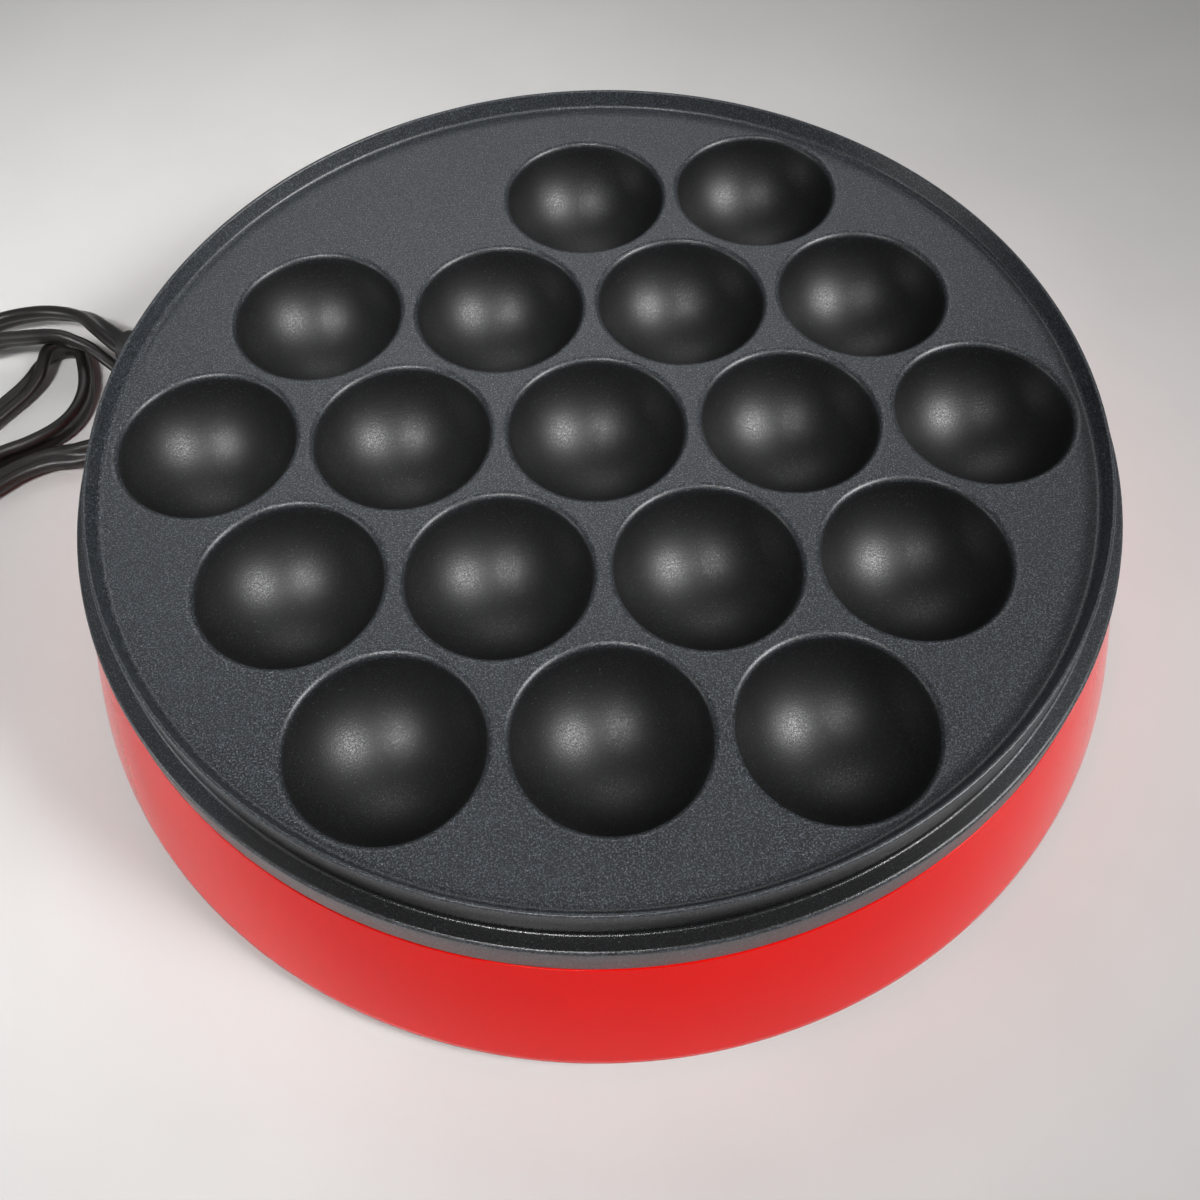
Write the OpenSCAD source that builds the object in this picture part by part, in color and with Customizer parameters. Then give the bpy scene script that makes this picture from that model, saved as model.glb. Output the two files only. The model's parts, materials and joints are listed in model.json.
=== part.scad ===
// Electric takoyaki maker: a cast plate with round cups that lifts off a round body, with the
// heater, the spring-loaded temperature sensor, the wiring and the mains cord that it holds.
// Millimetres, +Z up. The origin is on the table, below the middle of the plate, and the rows
// of cups run along X.

/* [Cooking plate] */
// Distance between the middles of neighbouring cups
cup_pitch = 45; // [44.5:0.5:48]
// Radius of a cup's round bottom
cup_r = 20.5; // [18:0.1:20.6]
// Depth of a cup below the flat of the plate
cup_depth = 19; // [17:0.1:19.5]
// Radius of the rounded edge round each cup
cup_edge_r = 1.6; // [1:0.1:2]
// Flat left between the outermost cups and the lip
floor_margin = 1.5; // [1:0.5:6]
// Wall of the casting
plate_t = 3; // [2.5:0.1:3.5]
// Height of the lip above the flat
lip_h = 4.4; // [3:0.1:6]
// Radius of the round on top of the lip
lip_round = 0.5; // [0.4:0.05:0.8]
// Lean of the lip's inner wall, in degrees
lip_lean = 14; // [6:1:20]
// Depth of the ledge outside the lip, below the flat
ledge_drop = 4.2; // [3:0.1:5]
// Width of the ledge
ledge_w = 3.9; // [3:0.1:6]
// Height of the skirt below the ledge
skirt_h = 8.7; // [7.5:0.1:10]
// Wall of the skirt
skirt_t = 2.4; // [2:0.1:3]
// Draft of the casting's outer walls, in degrees
draft = 3.5; // [1:0.5:5]
// Height of the flat above the table
plate_z = 52.5; // [51.5:0.5:58]
// How many legs the plate stands on
plate_legs = 6; // [3:1:6]
// Width of a leg, across the rim
leg_w = 3.6; // [3:0.1:4]

/* [Body] */
// Height of the body's lower edge above the table
stand_off = 3; // [2.5:0.5:4]
// How much wider the body is at its lower edge than at its top
body_flare = 11; // [6:0.5:16]
// Bulge of the body's wall
body_bulge = 0.45; // [0:0.05:1]
// Wall of the body
wall_t = 2.5; // [2:0.1:3]
// Gap between the plate's skirt and the body
skirt_gap = 0.6; // [0.4:0.1:1]
// Gap round the upstand that centres the plate
plate_fit = 1; // [0.6:0.1:1.4]
// Thickness of the shelf that carries the pan
shelf_t = 2.5; // [2:0.1:3]
// Thickness of the base
base_t = 2.5; // [2:0.1:3]
// Gap round the base
base_fit = 0.5; // [0.3:0.1:0.8]
// How many slots let air through the base
vent_count = 10; // [6:1:10]
// Width of a vent slot
vent_w = 3; // [2:0.5:4]
// Length of a vent slot
vent_l = 16; // [10:1:20]
// Diameter of a rubber foot
foot_d = 16; // [12:1:18]
// Distance of the feet from the middle
foot_ring_r = 105; // [98:1:106]

/* [Heater] */
// Thickness of the reflector pan's sheet
pan_t = 0.8; // [0.6:0.1:1]
// Height of the pan's floor above the table
pan_z = 22; // [21:0.5:23]
// Width of the pan's flange
pan_flange_w = 4.6; // [4.2:0.1:5]
// Radius of the heating element's ring
heater_ring_r = 62; // [60:0.5:64]
// Diameter of the heating element's sheath
heater_d = 6.6; // [6:0.1:8]
// How far the ring lies below the flat of the plate
heater_drop = 21; // [20.5:0.1:22]
// Inside clearance of the plate's heater channel
channel_fit = 0.3; // [0.2:0.05:0.4]
// Bend radius of the heating element's ends
heater_bend_r = 8; // [7:0.5:9]
// Distance between the heating element's two ends
heater_end_gap = 24; // [22:1:30]

/* [Temperature sensor] */
// Diameter of the sensor's cap
sensor_d = 13; // [12:0.5:15]
// Travel of the sensor when it is pressed down
sensor_travel = 1.5; // [1:0.5:2]
// Gap between the sensor and the plate above it
sensor_gap = 0.3; // [0.2:0.1:0.4]
// Wire diameter of the sensor's spring
spring_wire_d = 0.8; // [0.6:0.1:1]
// Turns of the sensor's spring
spring_turns = 2.5; // [2:0.5:3]

/* [Cord] */
// Direction in which the cord leaves the body, in degrees
exit_angle = 153; // [150:1:158]
// Height of the cord's exit above the table
exit_z = 13.5; // [13:0.5:14]
// Width of the flat cord
cord_w = 7; // [6:0.1:7.6]
// Thickness of the flat cord
cord_t = 3.6; // [3:0.1:4]
// Diameter of a wire inside the body
lead_d = 2.4; // [2:0.1:2.6]
// Length of the plug's blades
blade_l = 17; // [16:0.5:18]

/* [Hidden] */
$fn = 64;
over = 1;          // how far a cut runs past a face
seat_gap = 0.3;    // gap round a piece that is held loosely
arc_steps = 5;     // straight steps in a rounded corner

// Heights and radii of the plate
row_pitch = cup_pitch * sin(60);
cup_rise = cup_r - cup_depth;
cup_centre_z = plate_z + cup_rise;
cup_mouth_r = sqrt(pow(cup_r + cup_edge_r, 2) - pow(cup_rise + cup_edge_r, 2));
edge_start_z = plate_z + cup_rise - cup_r * (cup_rise + cup_edge_r) / (cup_r + cup_edge_r);
rows = [2, 1, 0, -1, -2];
row_length = 5;
bare_row = 2;
bare_place = 0;
cups = [for (row = rows) let (count = row_length - abs(row)) for (i = [0:count - 1])
    if (row != bare_row || i != bare_place)
        [(i - (count - 1) / 2) * cup_pitch, row * row_pitch]];
floor_r = 2 * cup_pitch + cup_mouth_r + floor_margin;
plate_under_z = plate_z - plate_t;
leg_inset = 0.8;
leg_angle = 16;
lip_top_z = plate_z + lip_h;
lip_mid_r = floor_r + (lip_round + (lip_h - lip_round) * sin(lip_lean)) / cos(lip_lean);
ledge_z = plate_z - ledge_drop;
ledge_in_r = lip_mid_r + lip_round / cos(draft) + (lip_top_z - lip_round - ledge_z) * tan(draft);
ledge_out_r = ledge_in_r + ledge_w;
skirt_z = ledge_z - skirt_h;
skirt_r = ledge_out_r + skirt_h * tan(draft);
skirt_in_r = skirt_r - skirt_t;
ledge_under_z = ledge_z - plate_t;
floor_fillet = 1.2;
ledge_fillet = 0.8;
ledge_round = 0.9;
skirt_edge = 0.4;

// Heights and radii of the body
body_top_z = skirt_z - skirt_gap;
body_top_r = skirt_r + 0.3;
body_r = body_top_r + body_flare;
body_edge = 1;
rim_t = 2.4;
rim_r = skirt_in_r - (ledge_z - plate_t - skirt_z) * tan(draft) - plate_fit;
rim_in_r = rim_r - rim_t;
rim_top_z = ledge_under_z - 1.2;
shelf_drop = 3;
shelf_z = body_top_z - shelf_drop;
base_top_z = stand_off + base_t;
body_steps = 8;
function body_out(z) = let (s = (body_top_z - z) / (body_top_z - stand_off))
    body_top_r + s * body_flare + 4 * body_bulge * s * (1 - s);
base_r = body_out(base_top_z) - wall_t - base_fit;

// Reflector pan
pan_fit = 0.4;
pan_r = rim_in_r - pan_fit;
pan_in_r = pan_r - pan_flange_w;
pan_slope_w = 8;
pan_floor_r = pan_in_r - pan_slope_w;
pan_top_z = pan_z + pan_t;
pan_flange_top_z = shelf_z + pan_t;
shelf_in_r = pan_in_r + 1;
post_ring_r = 84;
post_r = 4.5;
post_angles = [20, 110, 200, 290];
screw_r = 1.4;
screw_head_r = 2.8;
screw_head_h = 1.8;
screw_l = 10;
boss_r = 4.2;
boss_ring_r = shelf_in_r + boss_r + 1;
boss_angles = [45, 135, 225, 315];
gusset_t = 2;
pilot_l = screw_l + 2;     // holes for screws run past their tips
pilot_fit = 0.1;
slot_h = 0.8;

// Feet and air slots of the base
foot_angles = [0, 90, 180, 270];
foot_edge = 1;
foot_stem_r = 2.5;
foot_head_r = 4;
foot_head_h = 1.5;
vent_ring_r = post_ring_r - 25;
vent_step = 26;            // degrees from one slot to the next
vent_middle = 270;

// Heating element
heater_z = plate_z - heater_drop;
heater_r = heater_d / 2;
heater_angle = 210;
heater_end_angle = asin((heater_end_gap / 2 + heater_bend_r) / heater_ring_r);
channel_w = heater_d + 4;
heater_leg_l = 9.5;
heater_leg_z = heater_z - heater_bend_r - heater_leg_l;
function turned(x, y, a) = [x * cos(a) - y * sin(a), x * sin(a) + y * cos(a)];
heater_leg_a = turned(heater_ring_r, heater_bend_r, heater_angle - heater_end_angle);
heater_leg_b = turned(heater_ring_r, -heater_bend_r, heater_angle + heater_end_angle);
insulator_r = 6.3;
insulator_neck_r = 4.8;
insulator_h = 1.4;
bracket_angles = [30, 120, 300];
bracket_l = 12;
bracket_w = 9;
bracket_t = 1.2;
rivet_r = 1.5;
rivet_head_r = 2.6;
rivet_head_h = 1;
tab_w = 6.3;
tab_t = 0.8;
tab_l = 5;

// Temperature sensor, in the flat between the middle cup and two of its neighbours
sensor_xy = [0, cup_pitch / sqrt(3)];
sensor_boss_d = sensor_d + 1;
sensor_boss_z = plate_z - cup_depth - 0.5;
sensor_top_z = sensor_boss_z - sensor_gap;
sensor_flange_w = 2.5;
sensor_flange_t = 1.2;
sensor_flange_z = pan_z - seat_gap - sensor_flange_t;
cap_t = 1;
thermostat_r = sensor_d / 2 - cap_t - seat_gap;
thermostat_h = 6;
sensor_tab_x = 3.2;
sensor_tab_w = 4;
sensor_tab_z = 9.5;
sensor_bracket_t = 1;
sensor_bracket_drop = 8;
sensor_bracket_z = pan_z - sensor_bracket_drop;
sensor_bracket_l = 34;
sensor_bracket_w = 14;
sensor_foot_l = 8;
sensor_rivet_x = (sensor_bracket_l + sensor_foot_l) / 2;
spring_r = sensor_d / 2 + 1;

// Thermal fuse
fuse_r = 2.6;
fuse_l = 32;
fuse_mid = [-8, -22];
fuse_angle = 215;
clip_t = 0.8;
clip_w = 5;
clip_reach = 10;
fuse_z = pan_z - fuse_r - seat_gap - clip_t - 0.1;
clip_rivet_side = fuse_r + seat_gap + clip_t + clip_reach / 2;
clip_rivet_xy = fuse_mid + turned(0, clip_rivet_side, fuse_angle);

// Terminal block and wires
function at(r, side, z) = let (p = turned(r, side, exit_angle)) [p[0], p[1], z];
block_mid_r = 84;
block_l = 16;
block_w = 24;
block_h = 13;
block_out_r = block_mid_r + block_l / 2;
block_in_r = block_mid_r - block_l / 2;
block_screw_r = 2;
block_screw_h = 4;
port_z = base_top_z + 6.5;
lamp_port_z = port_z + 4;
lead_r = lead_d / 2;
lead_sides = 8;
receptacle = [2.2, 5, 3.5];
core_spacing = cord_w / 4;
port_side = 7.5;
lamp_port_side = 3.5;
neutral_turn = [5, 32];
neutral_pass = [13, 14];

// Pilot lamp, on the far side
lamp_angle = 90;
lamp_z = 21;
lamp_boss_r = 7;
lens_r = 4;
lens_collar_r = 5.8;
neon_r = 2.6;
neon_l = 9;
neon_reach = 1;
neon_pin_x = 1.4;
lamp_turn = [14, 20];
lamp_pass = [2.7, 15];
lamp_reach = [19.7, 9];
lamp_boss_in_r = body_out(lamp_z) - wall_t - 3;
lamp_boss_out_r = body_out(lamp_z) + 1.4;

// Cord exit
pad_r = 7.8;
pad_in_r = body_out(exit_z + pad_r) - wall_t - 1;
pad_out_r = body_out(exit_z - pad_r) + 0.3;
bushing_neck_r = 5.4;
bushing_flange_r = 7.4;
bushing_flange_t = 2.5;
bushing_tail_l = 16;
bushing_tip_r = 4.9;
cord_fit = 0.25;
clamp_mid_r = pad_in_r - 14;
clamp_l = 8;
clamp_w = 24;
clamp_t = 2.5;
clamp_screw_side = 8;
clamp_screw_depth = 7;
clamp_z = exit_z + cord_t / 2 + 0.1;   // where the clamp meets its cradle
cord_end_r = clamp_mid_r - clamp_l;

// Cord. Each point is [x, y, z, roll]: roll 0 lays the flat cord down, 90 stands it on edge.
cord_sides = 10;
tail_end_r = pad_out_r + bushing_flange_t + bushing_tail_l;
function with_roll(p, roll) = [p[0], p[1], p[2], roll];
lead_route = [
    with_roll(at(cord_end_r, 0, exit_z), 0),
    with_roll(at(clamp_mid_r, 0, exit_z), 0),
    with_roll(at(pad_in_r, 0, exit_z), 0),
    with_roll(at(pad_out_r, 0, exit_z), 0),
    with_roll(at(tail_end_r, 0, exit_z), 0),
    [-142, 76, 12.5, 25], [-149, 83, 10.5, 45], [-157, 87, 8.5, 60], [-166, 89, 7, 62],
    [-177, 88, 5.5, 68], [-189, 82, 4.4, 80], [-200, 70, 3.9, 90], [-206, 54, 3.7, 90],
    [-209, 34, 3.7, 90], [-209, 12, 3.8, 90], [-208, 2, 4, 90]];
small_loop_route = [
    [-196, 4, 4.2, 75], [-195.6, 12, 4.2, 60], [-192, 26, 3.2, 20], [-183, 41, 2.2, 0],
    [-170.5, 57.5, 2, 0], [-166.4, 63, 2.2, 5], [-164, 67.5, 2.8, 20], [-163, 71.5, 3.4, 45],
    [-161.1, 76.1, 3.7, 78], [-156.5, 78, 3.7, 90], [-151.9, 76.1, 3.7, 90], [-150, 71.5, 3.7, 90],
    [-148.5, 66.5, 3.7, 90], [-147.5, 61.5, 3.7, 90], [-147.5, 56.5, 3.7, 90],
    [-148.7, 51.5, 3.7, 90], [-151.5, 47, 3.7, 90], [-155.5, 43.5, 3.7, 90],
    [-160.5, 40.5, 3.7, 90], [-167.5, 37, 3.8, 90], [-180, 27.5, 3.8, 90], [-189.4, 10, 4, 90],
    [-190, 4, 4, 90]];
large_loop_route = [
    [-202.4, 4, 3.9, 90], [-202.4, 30, 3.9, 90], [-199, 47, 4.8, 90], [-194, 61.5, 6, 85],
    [-184, 73, 7.2, 74], [-174, 76.6, 8.8, 66], [-166, 76.2, 10.2, 62], [-159, 75.4, 11.4, 60],
    [-153.5, 74.6, 11.4, 60], [-149.5, 73.4, 10.3, 60], [-145, 71.4, 8.8, 65],
    [-139, 66.8, 6.4, 75], [-132.5, 60.5, 4.8, 85], [-129.5, 53, 4.4, 90], [-131.5, 45.5, 4.2, 85],
    [-137, 40, 4, 70], [-145.5, 37, 3.8, 35], [-152.5, 36.5, 3.4, 8], [-159.5, 34, 3.2, 0],
    [-166, 29.5, 3.2, 0], [-176, 20, 3.2, 10], [-183, 8, 4.2, 50], [-184, 2, 4.2, 65]];
tail_route = [
    [-196, -76, 6.4, 10], [-196, -88, 9, 0], [-196, -104, 9.4, 0], [-196, -118, 8.6, 0],
    [-194, -129, 7.6, 0], [-190, -139, 7, 0], [-187, -148, 7, 0], [-187, -156, 7, 0]];
hank_mid = [-196, -47];
hank_l = 130;
hank_w = 32;
hank_waist_w = 22;
hank_h = 7.5;
tie_t = 0.8;
tie_w = 7;
tie_gap = 0.3;
tie_twist_l = 9;
tie_twist_r = 1.2;
plug_start = tail_route[len(tail_route) - 1];
plug_neck_l = 10;
plug_w = 24;
plug_l = 20;
plug_h = 14;
plug_round = 4;
blade_spacing = 12.7;
blade_w = 6.3;
blade_t = 1.5;
blade_hole_r = 1.5;
blade_hole_x = 5;

// Points along an arc of a section, from one angle to another
function arc(centre, r, from, to) = [for (i = [0:arc_steps])
    let (a = from + (to - from) * i / arc_steps) centre + r * [cos(a), sin(a)]];

// Sweep of an oval along a route: rings across the route's direction, closed at both ends
function unit(v) = v / norm(v);
function place(p) = [p[0], p[1], p[2]];
function along(route, i) = unit(place(route[min(i + 1, len(route) - 1)])
    - place(route[max(i - 1, 0)]));
function ring(route, i, w, t, sides) = let (forward = along(route, i),
    side = unit(cross([0, 0, 1], forward)), up = cross(forward, side), roll = route[i][3],
    wide = side * cos(roll) + up * sin(roll), thin = up * cos(roll) - side * sin(roll))
    [for (k = [0:sides - 1]) let (a = 360 * (k + 0.5) / sides)
        place(route[i]) + wide * w / 2 * cos(a) + thin * t / 2 * sin(a)];
module sweep(route, w, t, sides) {
    rings = len(route);
    points = [for (i = [0:rings - 1]) each ring(route, i, w, t, sides)];
    walls = [for (i = [0:rings - 2], k = [0:sides - 1])
        let (next = (k + 1) % sides, low = i * sides, high = low + sides)
            each [[low + k, high + k, high + next], [low + k, high + next, low + next]]];
    start = [for (k = [0:sides - 1]) k];
    end = [for (k = [sides - 1:-1:0]) (rings - 1) * sides + k];
    polyhedron(points, concat([start, end], walls), convexity = 10);
}
function smooth(p, i, t) = let (a = p[i - 1], b = p[i], c = p[i + 1], d = p[i + 2])
    (2 * b + (c - a) * t + (2 * a - 5 * b + 4 * c - d) * t * t
        + (3 * b - a - 3 * c + d) * t * t * t) / 2;
lead_steps = 3;
// A wire's first and last stretches are straight, and it is smooth between them
function lead_path(p) = let (n = len(p) - 1) concat([with_roll(p[0], 0)],
    [for (i = [1:n - 2], k = [0:lead_steps - 1]) with_roll(smooth(p, i, k / lead_steps), 0)],
    [with_roll(p[n - 1], 0), with_roll(p[n], 0)]);
module lead(points) sweep(lead_path(points), lead_d, lead_d, lead_sides);

module around(angles, r) {
    for (a = angles)
        rotate([0, 0, a]) translate([r, 0, 0]) children();
}

module radial(angle, z) {
    rotate([0, 0, angle]) translate([0, 0, z]) rotate([0, 90, 0]) children();
}

// ---- Cooking plate ----

module plate_section() {
    inner = [floor_r - floor_fillet * (1 - sin(lip_lean)) / cos(lip_lean), plate_z + floor_fillet];
    lip = [lip_mid_r, lip_top_z - lip_round];
    foot = [ledge_in_r + ledge_fillet * (1 - sin(draft)) / cos(draft), ledge_z + ledge_fillet];
    edge = [ledge_out_r - ledge_round * (1 - sin(draft)) / cos(draft), ledge_z - ledge_round];
    ledge_under_r = skirt_in_r - (ledge_under_z - skirt_z) * tan(draft);
    under_slope_r = rim_in_r - 0.6;
    under_slope_w = 1.8;
    polygon(concat([[0, plate_z]],
        arc(inner, floor_fillet, -90, -lip_lean),
        arc(lip, lip_round, 180 - lip_lean, draft),
        arc(foot, ledge_fillet, 180 + draft, 270),
        arc(edge, ledge_round, 90, draft),
        [[skirt_r, skirt_z + skirt_edge], [skirt_r - skirt_edge, skirt_z],
            [skirt_in_r, skirt_z], [ledge_under_r, ledge_under_z],
            [under_slope_r, ledge_under_z], [under_slope_r - under_slope_w, plate_under_z],
            [0, plate_under_z]]));
}

module cup_outside() {
    intersection() {
        translate([0, 0, cup_centre_z]) sphere(cup_r + plate_t);
        translate([0, 0, plate_z - cup_depth - plate_t - over])
            cylinder(r = cup_r + plate_t + over, h = cup_depth + over);
    }
}

// The rounded edge is set edge_bite into the bowl, so that the two surfaces cross instead of
// only touching.
module cup_inside() {
    edge_bite = 0.01;
    mouth_r = cup_mouth_r - edge_bite;
    translate([0, 0, cup_centre_z]) sphere(cup_r);
    rotate_extrude() difference() {
        translate([0, edge_start_z])
            square([mouth_r, plate_z + cup_rise + over - edge_start_z]);
        translate([mouth_r, plate_z - cup_edge_r]) circle(cup_edge_r);
    }
}

module cooking_plate() {
    leg_r = pan_r - leg_inset;
    color("dimgray") difference() {
        union() {
            rotate_extrude() plate_section();
            for (c = cups)
                translate(c) cup_outside();
            translate([0, 0, heater_z]) rotate_extrude()
                translate([heater_ring_r - channel_w / 2, 0])
                    square([channel_w, plate_under_z + over - heater_z]);
            translate([sensor_xy[0], sensor_xy[1], sensor_boss_z])
                cylinder(d = sensor_boss_d, h = plate_under_z + over - sensor_boss_z);
            for (i = [0:plate_legs - 1])
                rotate([0, 0, 30 + i * 360 / plate_legs - leg_angle / 2])
                    translate([0, 0, pan_flange_top_z]) rotate_extrude(angle = leg_angle)
                        translate([leg_r - leg_w, 0])
                            square([leg_w, plate_under_z + over - pan_flange_top_z]);
        }
        for (c = cups)
            translate(c) cup_inside();
        translate([0, 0, heater_z]) rotate_extrude()
            translate([heater_ring_r, 0]) circle(heater_r + channel_fit);
    }
}

// ---- Body ----

module housing_section() {
    inner_bottom_z = stand_off;
    shelf_under_z = shelf_z - shelf_t;
    outside = [for (i = [0:body_steps])
        let (z = body_top_z - body_edge
            - (body_top_z - stand_off - 2 * body_edge) * i / body_steps) [body_out(z), z]];
    inside = [for (i = [body_steps:-1:0])
        let (z = shelf_under_z - (shelf_under_z - inner_bottom_z) * i / body_steps)
            [body_out(z) - wall_t, z]];
    polygon(concat([[rim_in_r, rim_top_z], [rim_r, rim_top_z], [rim_r, body_top_z],
        [body_top_r - body_edge, body_top_z], [body_out(body_top_z) - 0.2, body_top_z - 0.4]],
        outside, [[body_r - 0.3, stand_off + 0.3], [body_r - body_edge, stand_off]],
        inside, [[shelf_in_r, shelf_under_z], [shelf_in_r, shelf_z], [rim_in_r, shelf_z]]));
}

module housing_gusset() {
    top_z = shelf_z - shelf_t / 2;
    bottom_z = base_top_z + 2.5;
    rotate([90, 0, 0]) linear_extrude(gusset_t, center = true)
        polygon([[boss_ring_r, bottom_z], [body_out(bottom_z) - wall_t + over, bottom_z],
            [body_out(top_z) - wall_t + over, top_z], [boss_ring_r, top_z]]);
}

module housing() {
    color("red") difference() {
        union() {
            rotate_extrude($fn = 128) housing_section();
            around(boss_angles, boss_ring_r) translate([0, 0, base_top_z])
                cylinder(r = boss_r, h = shelf_z - shelf_t / 2 - base_top_z);
            around(boss_angles, 0) housing_gusset();
            radial(exit_angle, exit_z) translate([0, 0, pad_in_r])
                cylinder(r = pad_r, h = pad_out_r - pad_in_r);
            radial(lamp_angle, lamp_z) translate([0, 0, lamp_boss_in_r])
                cylinder(r = lamp_boss_r, h = lamp_boss_out_r - lamp_boss_in_r);
        }
        around(boss_angles, boss_ring_r) translate([0, 0, base_top_z - over])
            cylinder(r = screw_r + pilot_fit, h = pilot_l + over);
        radial(exit_angle, exit_z) translate([0, 0, pad_in_r - over])
            cylinder(r = bushing_neck_r + seat_gap, h = pad_out_r - pad_in_r + 2 * over);
        radial(lamp_angle, lamp_z) translate([0, 0, lamp_boss_in_r - over])
            cylinder(r = lens_r + 0.15, h = lamp_boss_out_r - lamp_boss_in_r + 2 * over);
    }
}

module base_cover() {
    root_z = stand_off + base_t / 2;
    cord_groove_z = exit_z - cord_t / 2 - 0.05;
    color("black") difference() {
        union() {
            translate([0, 0, stand_off]) cylinder(r = base_r, h = base_t, $fn = 128);
            around(post_angles, post_ring_r) translate([0, 0, root_z])
                cylinder(r = post_r, h = pan_z - root_z);
            rotate([0, 0, exit_angle])
                translate([clamp_mid_r - clamp_l / 2, -clamp_w / 2, root_z])
                    cube([clamp_l, clamp_w, clamp_z - root_z]);
        }
        around(post_angles, post_ring_r) translate([0, 0, pan_z - pilot_l])
            cylinder(r = screw_r + pilot_fit, h = pilot_l + over);
        around(boss_angles, boss_ring_r) translate([0, 0, stand_off - over])
            cylinder(r = screw_r + 0.3, h = base_t + 2 * over);
        around(foot_angles, foot_ring_r) translate([0, 0, stand_off - over])
            cylinder(r = foot_stem_r + seat_gap, h = base_t + 2 * over);
        rotate([0, 0, exit_angle])
            translate([clamp_mid_r - clamp_l, -cord_w / 2 - cord_fit, cord_groove_z])
                cube([2 * clamp_l, cord_w + 2 * cord_fit, cord_t + over]);
        rotate([0, 0, exit_angle])
            for (side = [-clamp_screw_side, clamp_screw_side])
                translate([clamp_mid_r, side, clamp_z - clamp_screw_depth])
                    cylinder(r = screw_r + pilot_fit, h = clamp_screw_depth + over);
        for (i = [0:vent_count - 1])
            rotate([0, 0, vent_middle + (i - (vent_count - 1) / 2) * vent_step])
                translate([vent_ring_r, -vent_w / 2, stand_off - over])
                    cube([vent_l, vent_w, base_t + 2 * over]);
    }
}

module rubber_foot(angle) {
    color("darkslategray") rotate([0, 0, angle]) translate([foot_ring_r, 0, 0]) {
        cylinder(d1 = foot_d - 2 * foot_edge, d2 = foot_d, h = foot_edge);
        translate([0, 0, foot_edge]) cylinder(d = foot_d, h = stand_off - foot_edge);
        cylinder(r = foot_stem_r, h = base_top_z + foot_head_h / 2);
        translate([0, 0, base_top_z]) cylinder(r1 = foot_head_r, r2 = foot_stem_r, h = foot_head_h);
    }
}
module rubber_foot_1() rubber_foot(foot_angles[0]);
module rubber_foot_2() rubber_foot(foot_angles[1]);
module rubber_foot_3() rubber_foot(foot_angles[2]);
module rubber_foot_4() rubber_foot(foot_angles[3]);

// A screw that points up, with its head below z = 0
module screw(length) {
    slot_w = 0.8;
    difference() {
        union() {
            cylinder(r = screw_r, h = length);
            translate([0, 0, -screw_head_h]) cylinder(r = screw_head_r, h = screw_head_h);
        }
        translate([-screw_head_r, -slot_w / 2, -screw_head_h - over])
            cube([2 * screw_head_r, slot_w, over + slot_h]);
        translate([-slot_w / 2, -screw_head_r, -screw_head_h - over])
            cube([slot_w, 2 * screw_head_r, over + slot_h]);
    }
}

module base_screws() {
    color("silver") around(boss_angles, boss_ring_r)
        translate([0, 0, stand_off]) screw(base_t + screw_l);
}

// ---- Reflector pan and heater ----

module pan_section() {
    polygon([[0, pan_z], [pan_floor_r + pan_t, pan_z], [pan_in_r + pan_t, shelf_z],
        [pan_r, shelf_z], [pan_r, pan_flange_top_z], [pan_in_r, pan_flange_top_z],
        [pan_floor_r, pan_top_z], [0, pan_top_z]]);
}

module reflector_pan() {
    hole_h = pan_t + 2 * over;
    color("lightgray") difference() {
        rotate_extrude($fn = 128) pan_section();
        translate([0, 0, pan_z - over]) {
            around(post_angles, post_ring_r) cylinder(r = screw_r + 0.3, h = hole_h);
            around(bracket_angles, heater_ring_r) cylinder(r = rivet_r + 0.1, h = hole_h);
            for (leg = [heater_leg_a, heater_leg_b])
                translate(leg) cylinder(r = insulator_neck_r + 0.2, h = hole_h);
            translate(sensor_xy) cylinder(r = sensor_d / 2 + seat_gap, h = hole_h);
            for (side = [-1, 1])
                translate([sensor_xy[0] + side * sensor_rivet_x, sensor_xy[1]])
                    cylinder(r = rivet_r + 0.1, h = hole_h);
            translate(clip_rivet_xy) cylinder(r = rivet_r + 0.1, h = hole_h);
        }
    }
}

module pan_screws() {
    color("silver") around(post_angles, post_ring_r)
        translate([0, 0, pan_top_z]) mirror([0, 0, 1]) screw(screw_l);
}

// The element's middle line: up from one end, round the ring and down to the other. The feet of
// its legs lean by leg_lean, so that the sweep always has a direction along the ring.
function heater_point(a, along_ring, z) = let (p = turned(heater_ring_r, along_ring, a))
    [p[0], p[1], z, 0];
function heater_bend(a, b, sign) = heater_point(a, sign * heater_bend_r * sin(b),
    heater_z - heater_bend_r * (1 - cos(b)));

module heating_element() {
    bend_steps = 6;
    ring_steps = 60;
    leg_lean = 0.1;
    from = heater_angle + heater_end_angle;
    to = heater_angle - heater_end_angle + 360;
    foot = heater_bend_r + leg_lean;
    color("gray") sweep(concat([heater_point(from, -foot, heater_leg_z)],
        [for (i = [bend_steps:-1:1]) heater_bend(from, 90 * i / bend_steps, -1)],
        [for (i = [0:ring_steps]) heater_point(from + (to - from) * i / ring_steps, 0, heater_z)],
        [for (i = [1:bend_steps]) heater_bend(to, 90 * i / bend_steps, 1)],
        [heater_point(to, foot, heater_leg_z)]), heater_d, heater_d, 16);
}

module heater_insulators() {
    below_h = 2.5;
    color("ivory") for (leg = [heater_leg_a, heater_leg_b])
        translate(leg) difference() {
            union() {
                translate([0, 0, pan_top_z]) cylinder(r = insulator_r, h = insulator_h);
                translate([0, 0, pan_z - over])
                    cylinder(r = insulator_neck_r, h = pan_t + 2 * over);
                translate([0, 0, pan_z - below_h]) cylinder(r = insulator_r, h = below_h);
            }
            translate([0, 0, pan_z - below_h - over])
                cylinder(r = heater_r + 0.2, h = below_h + pan_t + insulator_h + 2 * over);
        }
}

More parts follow.
